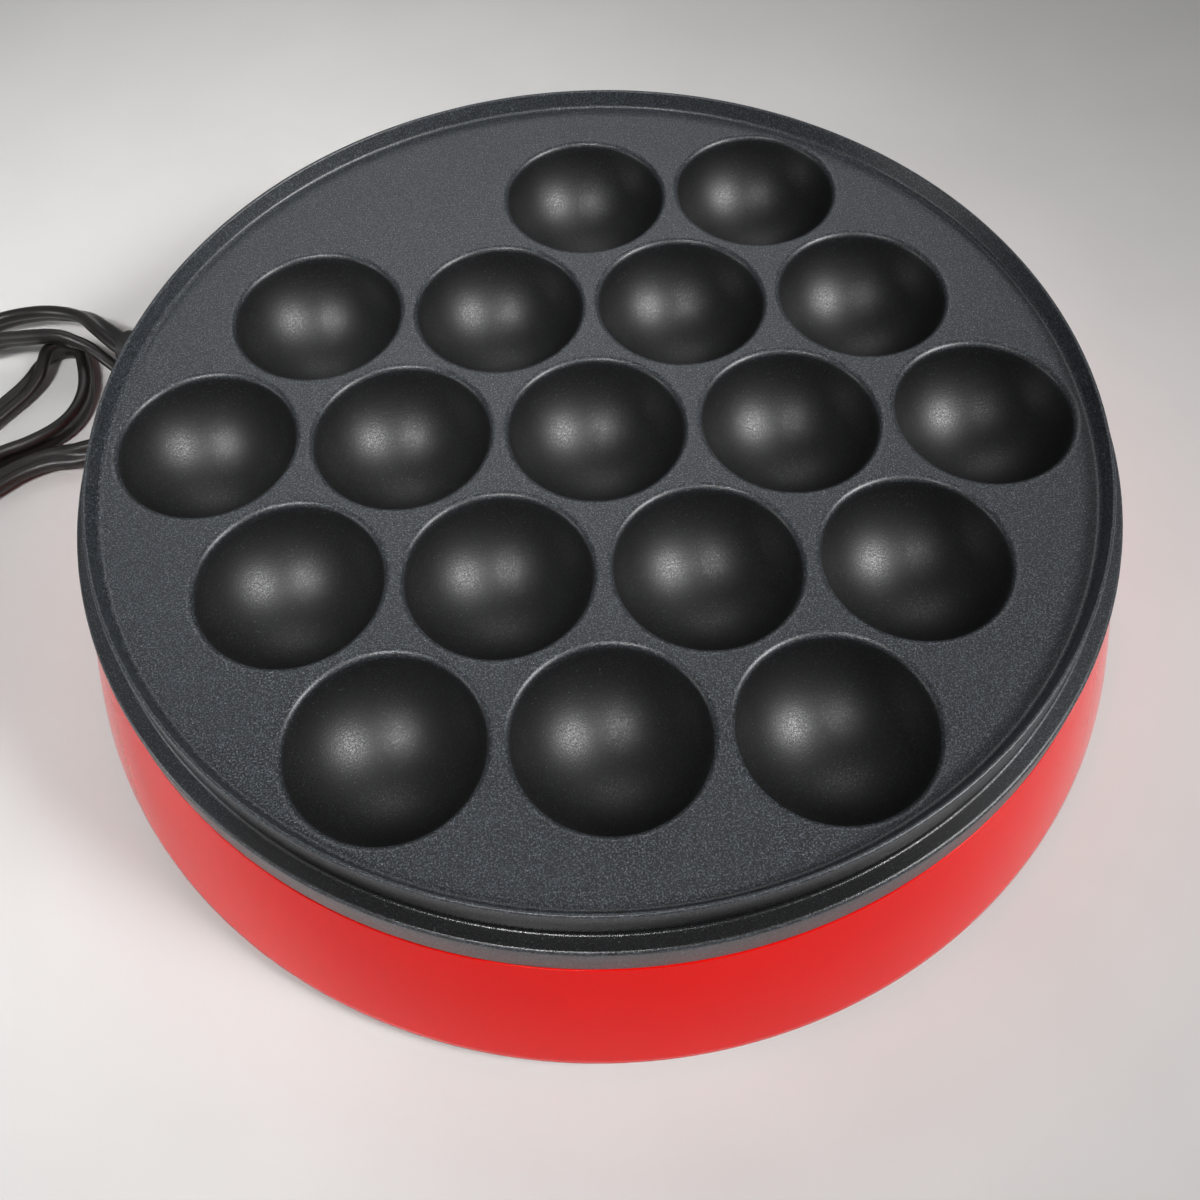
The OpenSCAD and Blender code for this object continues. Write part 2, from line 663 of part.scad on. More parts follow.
module heater_terminals() {
    pin_r = 1.3;
    pin_l = 1.5;
    color("silver") for (leg = [heater_leg_a, heater_leg_b])
        translate([leg[0], leg[1], heater_leg_z]) {
            translate([0, 0, -pin_l]) cylinder(r = pin_r, h = pin_l);
            translate([-tab_t / 2, -tab_w / 2, -pin_l - tab_l + 0.5]) cube([tab_t, tab_w, tab_l]);
        }
}

module heater_bracket(angle) {
    top_z = heater_z - 1;
    color("darkgray") rotate([0, 0, angle]) translate([heater_ring_r, 0, 0]) difference() {
        union() {
            translate([-bracket_l / 2, -bracket_w / 2, pan_top_z])
                cube([bracket_l, bracket_w, bracket_t]);
            for (side = [-1, 1])
                translate([-bracket_l / 2, side * (bracket_w - bracket_t) / 2 - bracket_t / 2,
                    pan_top_z])
                    cube([bracket_l, bracket_t, top_z - pan_top_z]);
        }
        translate([0, 0, pan_z]) cylinder(r = rivet_r + 0.1, h = pan_t + bracket_t + over);
        translate([-heater_ring_r, 0, heater_z]) rotate_extrude($fn = 128)
            translate([heater_ring_r, 0]) circle(heater_r + 0.2);
    }
}
module heater_bracket_1() heater_bracket(bracket_angles[0]);
module heater_bracket_2() heater_bracket(bracket_angles[1]);
module heater_bracket_3() heater_bracket(bracket_angles[2]);

// A rivet through a grip, with its lower head below z = 0
module rivet(grip) {
    cylinder(r = rivet_r, h = grip);
    translate([0, 0, -rivet_head_h]) cylinder(r = rivet_head_r, h = rivet_head_h);
    translate([0, 0, grip]) cylinder(r = rivet_head_r, h = rivet_head_h);
}

module bracket_rivets() {
    color("silver") around(bracket_angles, heater_ring_r)
        translate([0, 0, pan_z]) rivet(pan_t + bracket_t);
}

// ---- Temperature sensor ----

module sensor_cap() {
    color("lightgray") translate([sensor_xy[0], sensor_xy[1], 0]) difference() {
        union() {
            translate([0, 0, sensor_flange_z])
                cylinder(d = sensor_d, h = sensor_top_z - sensor_flange_z);
            translate([0, 0, sensor_flange_z])
                cylinder(r = sensor_d / 2 + sensor_flange_w, h = sensor_flange_t);
        }
        translate([0, 0, sensor_flange_z - over])
            cylinder(d = sensor_d - 2 * cap_t, h = sensor_top_z - cap_t - sensor_flange_z + over);
    }
}

module thermostat() {
    top_z = sensor_top_z - cap_t;
    color("saddlebrown") translate([sensor_xy[0], sensor_xy[1], 0]) {
        translate([0, 0, top_z - thermostat_h]) cylinder(r = thermostat_r, h = thermostat_h);
        for (side = [-1, 1])
            translate([side * sensor_tab_x - tab_t / 2, -sensor_tab_w / 2, sensor_tab_z])
                cube([tab_t, sensor_tab_w, top_z - thermostat_h + 0.5 - sensor_tab_z]);
    }
}

module sensor_spring() {
    low = sensor_bracket_z + sensor_bracket_t + spring_wire_d / 2 + 0.1;
    high = sensor_flange_z - spring_wire_d / 2 - 0.1;
    steps = 18;
    total = steps * spring_turns;
    route = [for (i = [0:total]) let (a = 360 * i / steps)
        [sensor_xy[0] + spring_r * cos(a), sensor_xy[1] + spring_r * sin(a),
            low + (high - low) * i / total, 0]];
    color("silver") sweep(route, spring_wire_d, spring_wire_d, 8);
}

module sensor_bracket() {
    leg_h = pan_z - sensor_bracket_z;
    color("darkgray") translate([sensor_xy[0], sensor_xy[1], sensor_bracket_z]) difference() {
        union() {
            translate([-sensor_bracket_l / 2, -sensor_bracket_w / 2, 0])
                cube([sensor_bracket_l, sensor_bracket_w, sensor_bracket_t]);
            for (side = [0, 1])
                mirror([side, 0, 0]) {
                    translate([sensor_bracket_l / 2 - sensor_bracket_t, -sensor_bracket_w / 2, 0])
                        cube([sensor_bracket_t, sensor_bracket_w, leg_h]);
                    translate([sensor_bracket_l / 2 - sensor_bracket_t, -sensor_bracket_w / 2,
                        leg_h - sensor_bracket_t])
                        cube([sensor_foot_l + sensor_bracket_t, sensor_bracket_w,
                            sensor_bracket_t]);
                }
        }
        translate([0, 0, -over])
            cylinder(r = spring_r - spring_wire_d / 2 - 0.6, h = sensor_bracket_t + 2 * over);
        for (side = [-1, 1])
            translate([side * sensor_rivet_x, 0, leg_h - sensor_bracket_t - over])
                cylinder(r = rivet_r + 0.1, h = sensor_bracket_t + 2 * over);
    }
}

module sensor_rivets() {
    color("silver") {
        for (side = [-1, 1])
            translate([sensor_xy[0] + side * sensor_rivet_x, sensor_xy[1],
                pan_z - sensor_bracket_t])
                rivet(sensor_bracket_t + pan_t);
        translate([clip_rivet_xy[0], clip_rivet_xy[1], pan_z - clip_t]) rivet(clip_t + pan_t);
    }
}

// ---- Fuse, terminal block, lamp ----

module thermal_fuse() {
    cap_r = 1.5;
    color("white") translate([fuse_mid[0], fuse_mid[1], fuse_z]) rotate([0, 0, fuse_angle])
        rotate([0, 90, 0]) {
            cylinder(r = fuse_r, h = fuse_l - 4, center = true);
            cylinder(r = cap_r, h = fuse_l, center = true);
        }
}

module fuse_clip() {
    ring_r = fuse_r + seat_gap + clip_t;
    color("silver") translate([fuse_mid[0], fuse_mid[1], 0]) rotate([0, 0, fuse_angle])
        difference() {
            union() {
                translate([-clip_w / 2, 0, fuse_z]) rotate([0, 90, 0])
                    cylinder(r = ring_r, h = clip_w);
                translate([-clip_w / 2, 0, pan_z - clip_t])
                    cube([clip_w, ring_r + clip_reach, clip_t]);
            }
            translate([-clip_w, 0, fuse_z]) rotate([0, 90, 0])
                cylinder(r = fuse_r + 0.2, h = 2 * clip_w);
            translate([0, clip_rivet_side, pan_z - clip_t - over])
                cylinder(r = rivet_r + 0.1, h = clip_t + 2 * over);
        }
}

module terminal_block() {
    rib_w = 1.6;
    rib_h = 2;
    color("ivory") rotate([0, 0, exit_angle]) translate([block_in_r, 0, base_top_z])
        difference() {
            union() {
                translate([0, -block_w / 2, 0]) cube([block_l, block_w, block_h]);
                translate([0, -rib_w / 2, 0]) cube([block_l, rib_w, block_h + rib_h]);
            }
            for (x = [block_l / 4, block_l * 3 / 4], y = [-block_w / 4, block_w / 4])
                translate([x, y, block_h - block_screw_h])
                    cylinder(r = block_screw_r + 0.2, h = block_screw_h + over);
        }
}

module terminal_screws() {
    slot_w = 0.7;
    color("silver") rotate([0, 0, exit_angle]) translate([block_in_r, 0, base_top_z])
        for (x = [block_l / 4, block_l * 3 / 4], y = [-block_w / 4, block_w / 4])
            translate([x, y, block_h - block_screw_h]) difference() {
                cylinder(r = block_screw_r, h = block_screw_h);
                translate([-block_screw_r, -slot_w / 2, block_screw_h - slot_h])
                    cube([2 * block_screw_r, slot_w, slot_h + over]);
            }
}

module core_live() {
    color("black") lead([at(cord_end_r, -core_spacing, exit_z),
        at(cord_end_r - 4, -core_spacing, exit_z),
        at(block_out_r + 4, -port_side, port_z), at(block_out_r, -port_side, port_z)]);
}

module core_neutral() {
    color("white") lead([at(cord_end_r, core_spacing, exit_z),
        at(cord_end_r - 4, core_spacing, exit_z),
        at(block_out_r + 4, port_side, port_z), at(block_out_r, port_side, port_z)]);
}

// A push-on connector: a block beside a tab, whose inner face is at the given place
module receptacle_at(x, y, z, sign) {
    translate([sign > 0 ? x : x - receptacle[0], y - receptacle[1] / 2, z]) cube(receptacle);
}

module lead_live() {
    end_x = sensor_xy[0] - sensor_tab_x - tab_t / 2 - seat_gap;
    end_z = sensor_tab_z + receptacle[2] / 2;
    color("firebrick") {
        lead([at(block_in_r, -port_side, port_z), at(block_in_r - 6, -port_side, port_z),
            [-46, 34, end_z], [-26, sensor_xy[1] + 1, end_z],
            [end_x - receptacle[0] - 5, sensor_xy[1], end_z],
            [end_x - receptacle[0], sensor_xy[1], end_z]]);
        receptacle_at(end_x, sensor_xy[1], sensor_tab_z, -1);
    }
}

module lead_neutral() {
    end = [heater_leg_a[0] + tab_t / 2 + 0.1, heater_leg_a[1], heater_leg_z - 1 - tab_l];
    end_z = end[2] + receptacle[2] / 2;
    color("white") {
        lead([at(block_in_r, port_side, port_z), at(block_in_r - 6, port_side, port_z),
            [end[0] + neutral_turn[0], end[1] + neutral_turn[1], end_z + 1],
            [end[0] + neutral_pass[0], end[1] + neutral_pass[1], end_z],
            [end[0] + receptacle[0] + 5, end[1], end_z],
            [end[0] + receptacle[0], end[1], end_z]]);
        receptacle_at(end[0], end[1], end[2], 1);
    }
}

module lead_sensor_to_fuse() {
    start_x = sensor_xy[0] + sensor_tab_x + tab_t / 2 + seat_gap;
    start_z = sensor_tab_z + receptacle[2] / 2;
    tip = fuse_mid + turned(-fuse_l / 2, 0, fuse_angle);
    near = fuse_mid + turned(-fuse_l / 2 - 5, 0, fuse_angle);
    color("firebrick") {
        receptacle_at(start_x, sensor_xy[1], sensor_tab_z, 1);
        lead([[start_x + receptacle[0], sensor_xy[1], start_z],
            [start_x + receptacle[0] + 5, sensor_xy[1], start_z], [20, 12, start_z + 1],
            [18, -2, fuse_z - 3], [near[0], near[1], fuse_z], [tip[0], tip[1], fuse_z]]);
    }
}

module lead_fuse_to_heater() {
    tip = fuse_mid + turned(fuse_l / 2, 0, fuse_angle);
    near = fuse_mid + turned(fuse_l / 2 + 4, 0, fuse_angle);
    end = [heater_leg_b[0] + tab_t / 2 + 0.1, heater_leg_b[1], heater_leg_z - 1 - tab_l];
    end_z = end[2] + receptacle[2] / 2;
    color("firebrick") {
        lead([[tip[0], tip[1], fuse_z], [near[0], near[1], fuse_z],
            [end[0] + receptacle[0] + 5, end[1], end_z], [end[0] + receptacle[0], end[1], end_z]]);
        receptacle_at(end[0], end[1], end[2], 1);
    }
}

// From the block it turns off, passes the post on its inner side, and reaches the lamp
module lamp_lead(side, neon_side) {
    neon_end = lamp_boss_in_r - neon_l;
    post = turned(post_ring_r, 0, post_angles[1]);
    color(side < 0 ? "firebrick" : "white")
        lead([at(block_in_r, side, lamp_port_z), at(block_in_r - 5, side, lamp_port_z),
            at(block_in_r - lamp_turn[0] - 0.7 * side, 0.2 * side - lamp_turn[1], lamp_port_z + 0.5),
            [post[0] + lamp_pass[0] + side / 2, post[1] - lamp_pass[1] - side / 2, lamp_port_z + 1],
            [post[0] + lamp_reach[0] + 3 * neon_side, post[1] + lamp_reach[1], lamp_z - 2],
            [neon_side, neon_end - 5, lamp_z], [neon_side, neon_end, lamp_z]]);
}
module lamp_lead_live() lamp_lead(-lamp_port_side, -neon_pin_x);
module lamp_lead_neutral() lamp_lead(lamp_port_side, neon_pin_x);

module neon_lamp() {
    color("orange") radial(lamp_angle, lamp_z) {
        translate([0, 0, lamp_boss_in_r - neon_l]) cylinder(r = neon_r, h = neon_l + neon_reach);
        translate([0, 0, lamp_boss_in_r + neon_reach]) sphere(neon_r);
    }
}

module lamp_lens() {
    collar_t = 1.5;
    proud = 1;
    dome_r = lens_r + 2;
    color("orangered") radial(lamp_angle, lamp_z) difference() {
        union() {
            translate([0, 0, lamp_boss_in_r - collar_t])
                cylinder(r = lens_collar_r, h = collar_t);
            intersection() {
                translate([0, 0, lamp_boss_in_r - over])
                    cylinder(r = lens_r, h = lamp_boss_out_r + proud - lamp_boss_in_r + over);
                translate([0, 0, lamp_boss_out_r + proud - dome_r]) sphere(dome_r);
            }
            translate([0, 0, lamp_boss_in_r - over])
                cylinder(r = lens_r, h = lamp_boss_out_r - lamp_boss_in_r);
        }
        translate([0, 0, lamp_boss_in_r - collar_t - over])
            cylinder(r = neon_r + seat_gap,
                h = over + collar_t + neon_reach + neon_r + seat_gap);
    }
}

// ---- Cord exit ----

// The flat cord's hole through the bushing: two round cores and the web between them
module cord_hole(length) {
    hole_r = cord_t / 2 + cord_fit;
    half = (cord_w - cord_t) / 2;
    for (side = [-half, half])
        translate([0, side, 0]) cylinder(r = hole_r, h = length);
    translate([-hole_r, -half, 0]) cube([2 * hole_r, 2 * half, length]);
}

module cord_bushing() {
    collar_t = 2;
    groove_count = 3;
    groove_w = 1.6;
    groove_pitch = 4;
    start = pad_in_r - collar_t;
    color("black") radial(exit_angle, exit_z) difference() {
        union() {
            translate([0, 0, start]) cylinder(r = bushing_flange_r - 0.8, h = collar_t);
            translate([0, 0, pad_in_r - over])
                cylinder(r = bushing_neck_r, h = pad_out_r - pad_in_r + 2 * over);
            translate([0, 0, pad_out_r]) cylinder(r = bushing_flange_r, h = bushing_flange_t);
            translate([0, 0, pad_out_r + bushing_flange_t])
                cylinder(r1 = bushing_flange_r - 1, r2 = bushing_tip_r, h = bushing_tail_l);
        }
        translate([0, 0, start - over]) cord_hole(tail_end_r - start + 2 * over);
        for (i = [0:groove_count - 1])
            translate([0, 0, pad_out_r + bushing_flange_t + 3 + i * groove_pitch])
                difference() {
                    cylinder(r = bushing_flange_r, h = groove_w);
                    translate([0, 0, -over]) cylinder(r = bushing_tip_r - 0.3, h = 4 * over);
                }
    }
}

module cord_clamp() {
    color("black") rotate([0, 0, exit_angle]) translate([clamp_mid_r, 0, clamp_z]) difference() {
        translate([-clamp_l / 2, -clamp_w / 2, 0]) cube([clamp_l, clamp_w, clamp_t]);
        for (side = [-clamp_screw_side, clamp_screw_side])
            translate([0, side, -over]) cylinder(r = screw_r + 0.2, h = clamp_t + 2 * over);
    }
}

module clamp_screws() {
    color("silver") rotate([0, 0, exit_angle])
        for (side = [-clamp_screw_side, clamp_screw_side])
            translate([clamp_mid_r, side, clamp_z + clamp_t]) mirror([0, 0, 1])
                screw(clamp_t + clamp_screw_depth - 1);
}

// ---- Cord and plug ----

module cord_lead() color("black") sweep(lead_route, cord_w, cord_t, cord_sides);
module cord_loop_small() color("black") sweep(small_loop_route, cord_w, cord_t, cord_sides);
module cord_loop_large() color("black") sweep(large_loop_route, cord_w, cord_t, cord_sides);
module cord_tail() color("black") sweep(tail_route, cord_w, cord_t, cord_sides);

// The bound cord as one solid: two lobes where it turns back, and a waist where it is tied
module cord_hank() {
    lobe_y = (hank_l - hank_w) / 2;
    waist_y = tie_w / 2 + tie_gap;
    side = [[hank_w / 2, -lobe_y], [hank_waist_w / 2, -waist_y], [hank_waist_w / 2, waist_y],
        [hank_w / 2, lobe_y]];
    color("black") translate([hank_mid[0], hank_mid[1], tie_t + tie_gap])
        linear_extrude(hank_h) {
            for (y = [-lobe_y, lobe_y])
                translate([0, y]) circle(d = hank_w);
            polygon(concat(side, [for (i = [3:-1:0]) [-side[i][0], side[i][1]]]));
        }
}

module hank_tie() {
    inner = [hank_waist_w + 2 * tie_gap, tie_w + 2 * over, hank_h + 2 * tie_gap];
    outer = [inner[0] + 2 * tie_t, tie_w, inner[2] + 2 * tie_t];
    twist_x = 2;
    twist_lean = 50;
    color("dimgray") translate([hank_mid[0], hank_mid[1], outer[2] / 2]) {
        difference() {
            cube(outer, center = true);
            cube(inner, center = true);
        }
        for (side = [-1, 1])
            translate([side * twist_x, 0, outer[2] / 2 - tie_t / 2])
                rotate([0, side * twist_lean, 0]) cylinder(r = tie_twist_r, h = tie_twist_l);
    }
}

module plug_body() {
    side_x = plug_w / 2 - plug_round;
    top = plug_start[1];
    color("black") {
        translate([plug_start[0], top, plug_start[2]]) rotate([90, 0, 0])
            cylinder(r1 = bushing_tip_r, r2 = plug_h / 2 - 1, h = plug_neck_l + over);
        translate([plug_start[0], top - plug_neck_l - plug_l, plug_start[2] - plug_h / 2]) {
            translate([-side_x, 0, 0]) cube([2 * side_x, plug_l, plug_h]);
            translate([-plug_w / 2, 0, plug_round])
                cube([plug_w, plug_l, plug_h - 2 * plug_round]);
            for (x = [-side_x, side_x], z = [plug_round, plug_h - plug_round])
                translate([x, plug_l, z]) rotate([90, 0, 0]) cylinder(r = plug_round, h = plug_l);
        }
    }
}

module plug_blades() {
    face_y = plug_start[1] - plug_neck_l - plug_l;
    color("gold") for (side = [-1, 1])
        translate([plug_start[0] + side * blade_spacing / 2 - blade_t / 2, face_y - blade_l,
            plug_start[2] - blade_w / 2]) difference() {
            cube([blade_t, blade_l, blade_w]);
            translate([-over, blade_hole_x, blade_w / 2]) rotate([0, 90, 0])
                cylinder(r = blade_hole_r, h = blade_t + 2 * over);
        }
}

cooking_plate();
housing();
base_cover();
rubber_foot_1();
rubber_foot_2();
rubber_foot_3();
rubber_foot_4();
base_screws();
reflector_pan();
pan_screws();
heating_element();
heater_insulators();
heater_terminals();
heater_bracket_1();
heater_bracket_2();
heater_bracket_3();
bracket_rivets();
sensor_cap();
thermostat();
sensor_spring();
sensor_bracket();
sensor_rivets();
thermal_fuse();
fuse_clip();
terminal_block();
terminal_screws();
core_live();
core_neutral();
lead_live();
lead_neutral();
lead_sensor_to_fuse();
lead_fuse_to_heater();
lamp_lead_live();
lamp_lead_neutral();
neon_lamp();
lamp_lens();
cord_bushing();
cord_clamp();
clamp_screws();
cord_lead();
cord_loop_small();
cord_loop_large();
cord_hank();
hank_tie();
cord_tail();
plug_body();
plug_blades();
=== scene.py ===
import json
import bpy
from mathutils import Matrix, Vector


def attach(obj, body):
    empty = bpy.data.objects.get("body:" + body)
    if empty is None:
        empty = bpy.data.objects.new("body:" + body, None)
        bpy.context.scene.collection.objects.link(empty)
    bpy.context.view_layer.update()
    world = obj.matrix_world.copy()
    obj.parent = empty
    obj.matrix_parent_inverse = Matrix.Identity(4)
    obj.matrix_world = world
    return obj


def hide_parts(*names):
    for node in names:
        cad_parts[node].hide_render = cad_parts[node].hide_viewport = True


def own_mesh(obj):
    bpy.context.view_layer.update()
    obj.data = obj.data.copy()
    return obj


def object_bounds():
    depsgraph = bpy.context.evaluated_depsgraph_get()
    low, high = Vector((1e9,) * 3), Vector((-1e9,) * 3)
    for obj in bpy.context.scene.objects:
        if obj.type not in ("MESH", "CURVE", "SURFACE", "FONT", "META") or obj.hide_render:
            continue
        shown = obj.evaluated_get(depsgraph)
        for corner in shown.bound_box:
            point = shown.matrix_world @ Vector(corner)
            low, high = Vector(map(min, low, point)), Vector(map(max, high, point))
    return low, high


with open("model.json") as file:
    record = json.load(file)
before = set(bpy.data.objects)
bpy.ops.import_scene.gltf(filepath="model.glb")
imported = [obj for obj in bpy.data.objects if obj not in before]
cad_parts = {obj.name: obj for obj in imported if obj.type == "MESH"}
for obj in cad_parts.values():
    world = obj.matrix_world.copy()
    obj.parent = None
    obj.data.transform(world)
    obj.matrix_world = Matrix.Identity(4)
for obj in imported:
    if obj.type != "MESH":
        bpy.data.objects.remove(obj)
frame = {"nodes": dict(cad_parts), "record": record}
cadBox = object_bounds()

from types import SimpleNamespace
import bmesh
import bpy
import numpy as np
from mathutils import Matrix, Vector
from mathutils.geometry import delaunay_2d_cdt

mm = 0.001
poleRadius = 0.5    # of the small flat face that shuts a turned shape at its axis, in mm
weldDistance = 0.002    # points of a mesh that are nearer than this, in mm, become one
nodes = frame["nodes"]


def polar(radius, degrees, z=0.0):
    # (r cos a, r sin a, z)
    a = np.radians(degrees)
    return np.array([radius * np.cos(a), radius * np.sin(a), z])


def arcPoints(centre, radius, start, end, steps):
    # centre + radius * (cos a, sin a), with a from start to end in degrees
    a = np.radians(np.linspace(start, end, steps + 1))
    return np.stack([centre[0] + radius * np.cos(a), centre[1] + radius * np.sin(a)], 1)


def gridFaces(rows, columns, closeRows=False):
    # quads between neighbouring rows and columns of a grid of points, with its columns closed
    i = np.arange(rows if closeRows else rows - 1)
    i, j = np.meshgrid(i, np.arange(columns), indexing="ij")
    below, right = (i + 1) % rows, (j + 1) % columns
    quads = [i * columns + j, i * columns + right, below * columns + right, below * columns + j]
    return np.stack(quads, -1).reshape(-1, 4)


class Surface:
    # points in millimetres and faces, gathered before they become one mesh
    def __init__(self):
        self.points, self.faces, self.count = [], [], 0

    def add(self, points, faces):
        # gives back where the new points begin
        points = np.asarray(points, float).reshape(-1, 3)
        first = self.count
        self.faces += (np.asarray(faces) + first).tolist()
        self.points.append(points)
        self.count += len(points)
        return first

    def cap(self, first, number, flip=False):
        # one face over a ring of points that follow each other
        ring = list(range(first, first + number))
        self.faces.append(ring[::-1] if flip else ring)

    def addGrid(self, grid, closeRows=False, ends=False):
        # quads between the points of a grid; ends shuts its first and its last row
        rows, columns = grid.shape[:2]
        first = self.add(grid, gridFaces(rows, columns, closeRows))
        if ends:
            self.cap(first, columns, flip=True)
            self.cap(first + (rows - 1) * columns, columns)
        return first

    def piece(self, name, material, body="root", sharp=35, weld=False):
        mesh = bpy.data.meshes.new(name)
        mesh.from_pydata((np.vstack(self.points) * mm).tolist(), [], self.faces)
        mesh.validate()
        mesh.materials.append(material)
        if weld:
            weldPoints(mesh)
        return placePiece(name, mesh, body, sharp)


def weldPoints(mesh):
    work = bmesh.new()
    work.from_mesh(mesh)
    bmesh.ops.remove_doubles(work, verts=work.verts, dist=weldDistance * mm)
    work.to_mesh(mesh)
    work.free()


def placePiece(name, mesh, body, sharp):
    # shaded smooth but for edges that bend by more than the angle, and riding on its body
    mesh.polygons.foreach_set("use_smooth", np.ones(len(mesh.polygons), bool))
    mesh.set_sharp_from_angle(angle=np.radians(sharp))
    obj = bpy.data.objects.new(name, mesh)
    bpy.context.scene.collection.objects.link(obj)
    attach(obj, body)
    return obj


def fullTurn(steps):
    # evenly spaced angles in degrees, from 0 to one step before 360
    return np.arange(steps) * 360 / steps


def turned(profile, angles, centre=(0, 0)):
    # each profile point (r, z) goes round the upright axis at the centre x, y:
    # (x + r cos a, y + r sin a, z)
    profile, a = np.asarray(profile, float), np.radians(angles)
    r, z = profile[:, :1], profile[:, 1:]
    return np.stack([centre[0] + r * np.cos(a), centre[1] + r * np.sin(a), z + 0 * a], -1)


def smoothPath(points, steps):
    # Catmull-Rom: passes through each point, with the direction of its neighbours' chord
    p = np.vstack([2 * points[0] - points[1], points, 2 * points[-1] - points[-2]])
    t = (np.arange(steps) / steps)[None, :, None]
    a, b, c, d = (p[i:len(p) - 3 + i][:, None, :] for i in range(4))
    curve = (2 * b + (c - a) * t + (2 * a - 5 * b + 4 * c - d) * t ** 2
             + (3 * b - a - 3 * c + d) * t ** 3) / 2
    return np.vstack([curve.reshape(-1, points.shape[1]), points[-1:]])


def evenPath(path, spacing):
    # the same path with its points a fixed distance apart, and its length
    walked = np.concatenate([[0], np.cumsum(np.linalg.norm(np.diff(path[:, :3], axis=0), axis=1))])
    at = np.linspace(0, walked[-1], int(round(walked[-1] / spacing)) + 1)
    return np.stack([np.interp(at, walked, column) for column in path.T], 1), walked[-1]


def sweepSection(path, section):
    # section points (across, through) are carried along the path and turned by its roll
    centre, roll = path[:, :3], np.radians(path[:, 3])[:, None]
    forward = np.gradient(centre, axis=0)
    forward /= np.linalg.norm(forward, axis=1, keepdims=True)
    side = np.cross([0.0, 0.0, 1.0], forward)
    side /= np.linalg.norm(side, axis=1, keepdims=True)
    up = np.cross(forward, side)
    wide = side * np.cos(roll) + up * np.sin(roll)
    thin = up * np.cos(roll) - side * np.sin(roll)
    return (centre[:, None] + wide[:, None] * section[None, :, :1]
            + thin[:, None] * section[None, :, 1:2])


def toLinear(hexColour):
    # the sRGB curve undone: a picture's colour as the amount of light that shaders take
    c = np.array([int(hexColour[i:i + 2], 16) for i in (1, 3, 5)]) / 255
    c = np.where(c <= 0.04045, c / 12.92, ((c + 0.055) / 1.055) ** 2.4)
    return (*c.tolist(), 1.0)


def addNode(material, kind, settings=None, **links):
    # a node with its settings. A socket goes by its name, or by its number as in0 or in1, and
    # takes a value, a node's first output, or (node, output)
    tree = material.node_tree
    node = tree.nodes.new("ShaderNode" + kind)
    for key, value in (settings or {}).items():
        setattr(node, key, value)
    for key, value in links.items():
        numbered = key.startswith("in") and key[2:].isdigit()
        socket = node.inputs[int(key[2:]) if numbered else key.replace("_", " ")]
        if isinstance(value, tuple) and isinstance(value[0], bpy.types.Node):
            tree.links.new(value[0].outputs[value[1]], socket)
        elif isinstance(value, bpy.types.Node):
            tree.links.new(value.outputs[0], socket)
        else:
            socket.default_value = value
    return node


def newMaterial(name, **shaderValues):
    material = bpy.data.materials.new(name)
    material.use_nodes = True
    shader = material.node_tree.nodes["Principled BSDF"]
    for key, value in shaderValues.items():
        shader.inputs[key.replace("_", " ")].default_value = value
    return material, shader


def link(material, source, shader, name, output=0):
    material.node_tree.links.new(source.outputs[output], shader.inputs[name])


def ramp(material, source, stops):
    # stops are (position, colour) with colours as linear tuples or single values
    node = addNode(material, "ValToRGB", in0=source)
    band = node.color_ramp
    while len(band.elements) < len(stops):
        band.elements.new(0.5)
    for element, (position, colour) in zip(band.elements, stops):
        element.position = position
        element.color = colour if isinstance(colour, tuple) else (colour, colour, colour, 1)
    return node


def objectPoints(material):
    return addNode(material, "TexCoord"), "Object"


def plainGrain(name, dark, light, roughness, grain=0.6, strength=0.1, metallic=0.0):
    # a surface with a fine even grain: colour, roughness and bump all vary by the same noise,
    # whose waves are about grain millimetres long
    cloud, spread, depth = 22, 0.08, 0.03
    material, shader = newMaterial(name, Metallic=metallic)
    where = objectPoints(material)
    noise = addNode(material, "TexNoise", Vector=where, Scale=1 / (grain * mm), Detail=4.0)
    broad = addNode(material, "TexNoise", Vector=where, Scale=1 / (cloud * mm), Detail=3.0)
    mixed = addNode(material, "Math", {"operation": "MULTIPLY_ADD"}, in0=noise, in1=0.5, in2=broad)
    tone = ramp(material, mixed, [(0.5, toLinear(dark)), (0.95, toLinear(light))])
    link(material, tone, shader, "Base Color")
    gloss = ramp(material, mixed, [(0.45, max(roughness - spread, 0.02)), (1.0, roughness + spread)])
    link(material, gloss, shader, "Roughness")
    bump = addNode(material, "Bump", Height=noise, Strength=strength, Distance=depth * mm)
    link(material, bump, shader, "Normal")
    return material


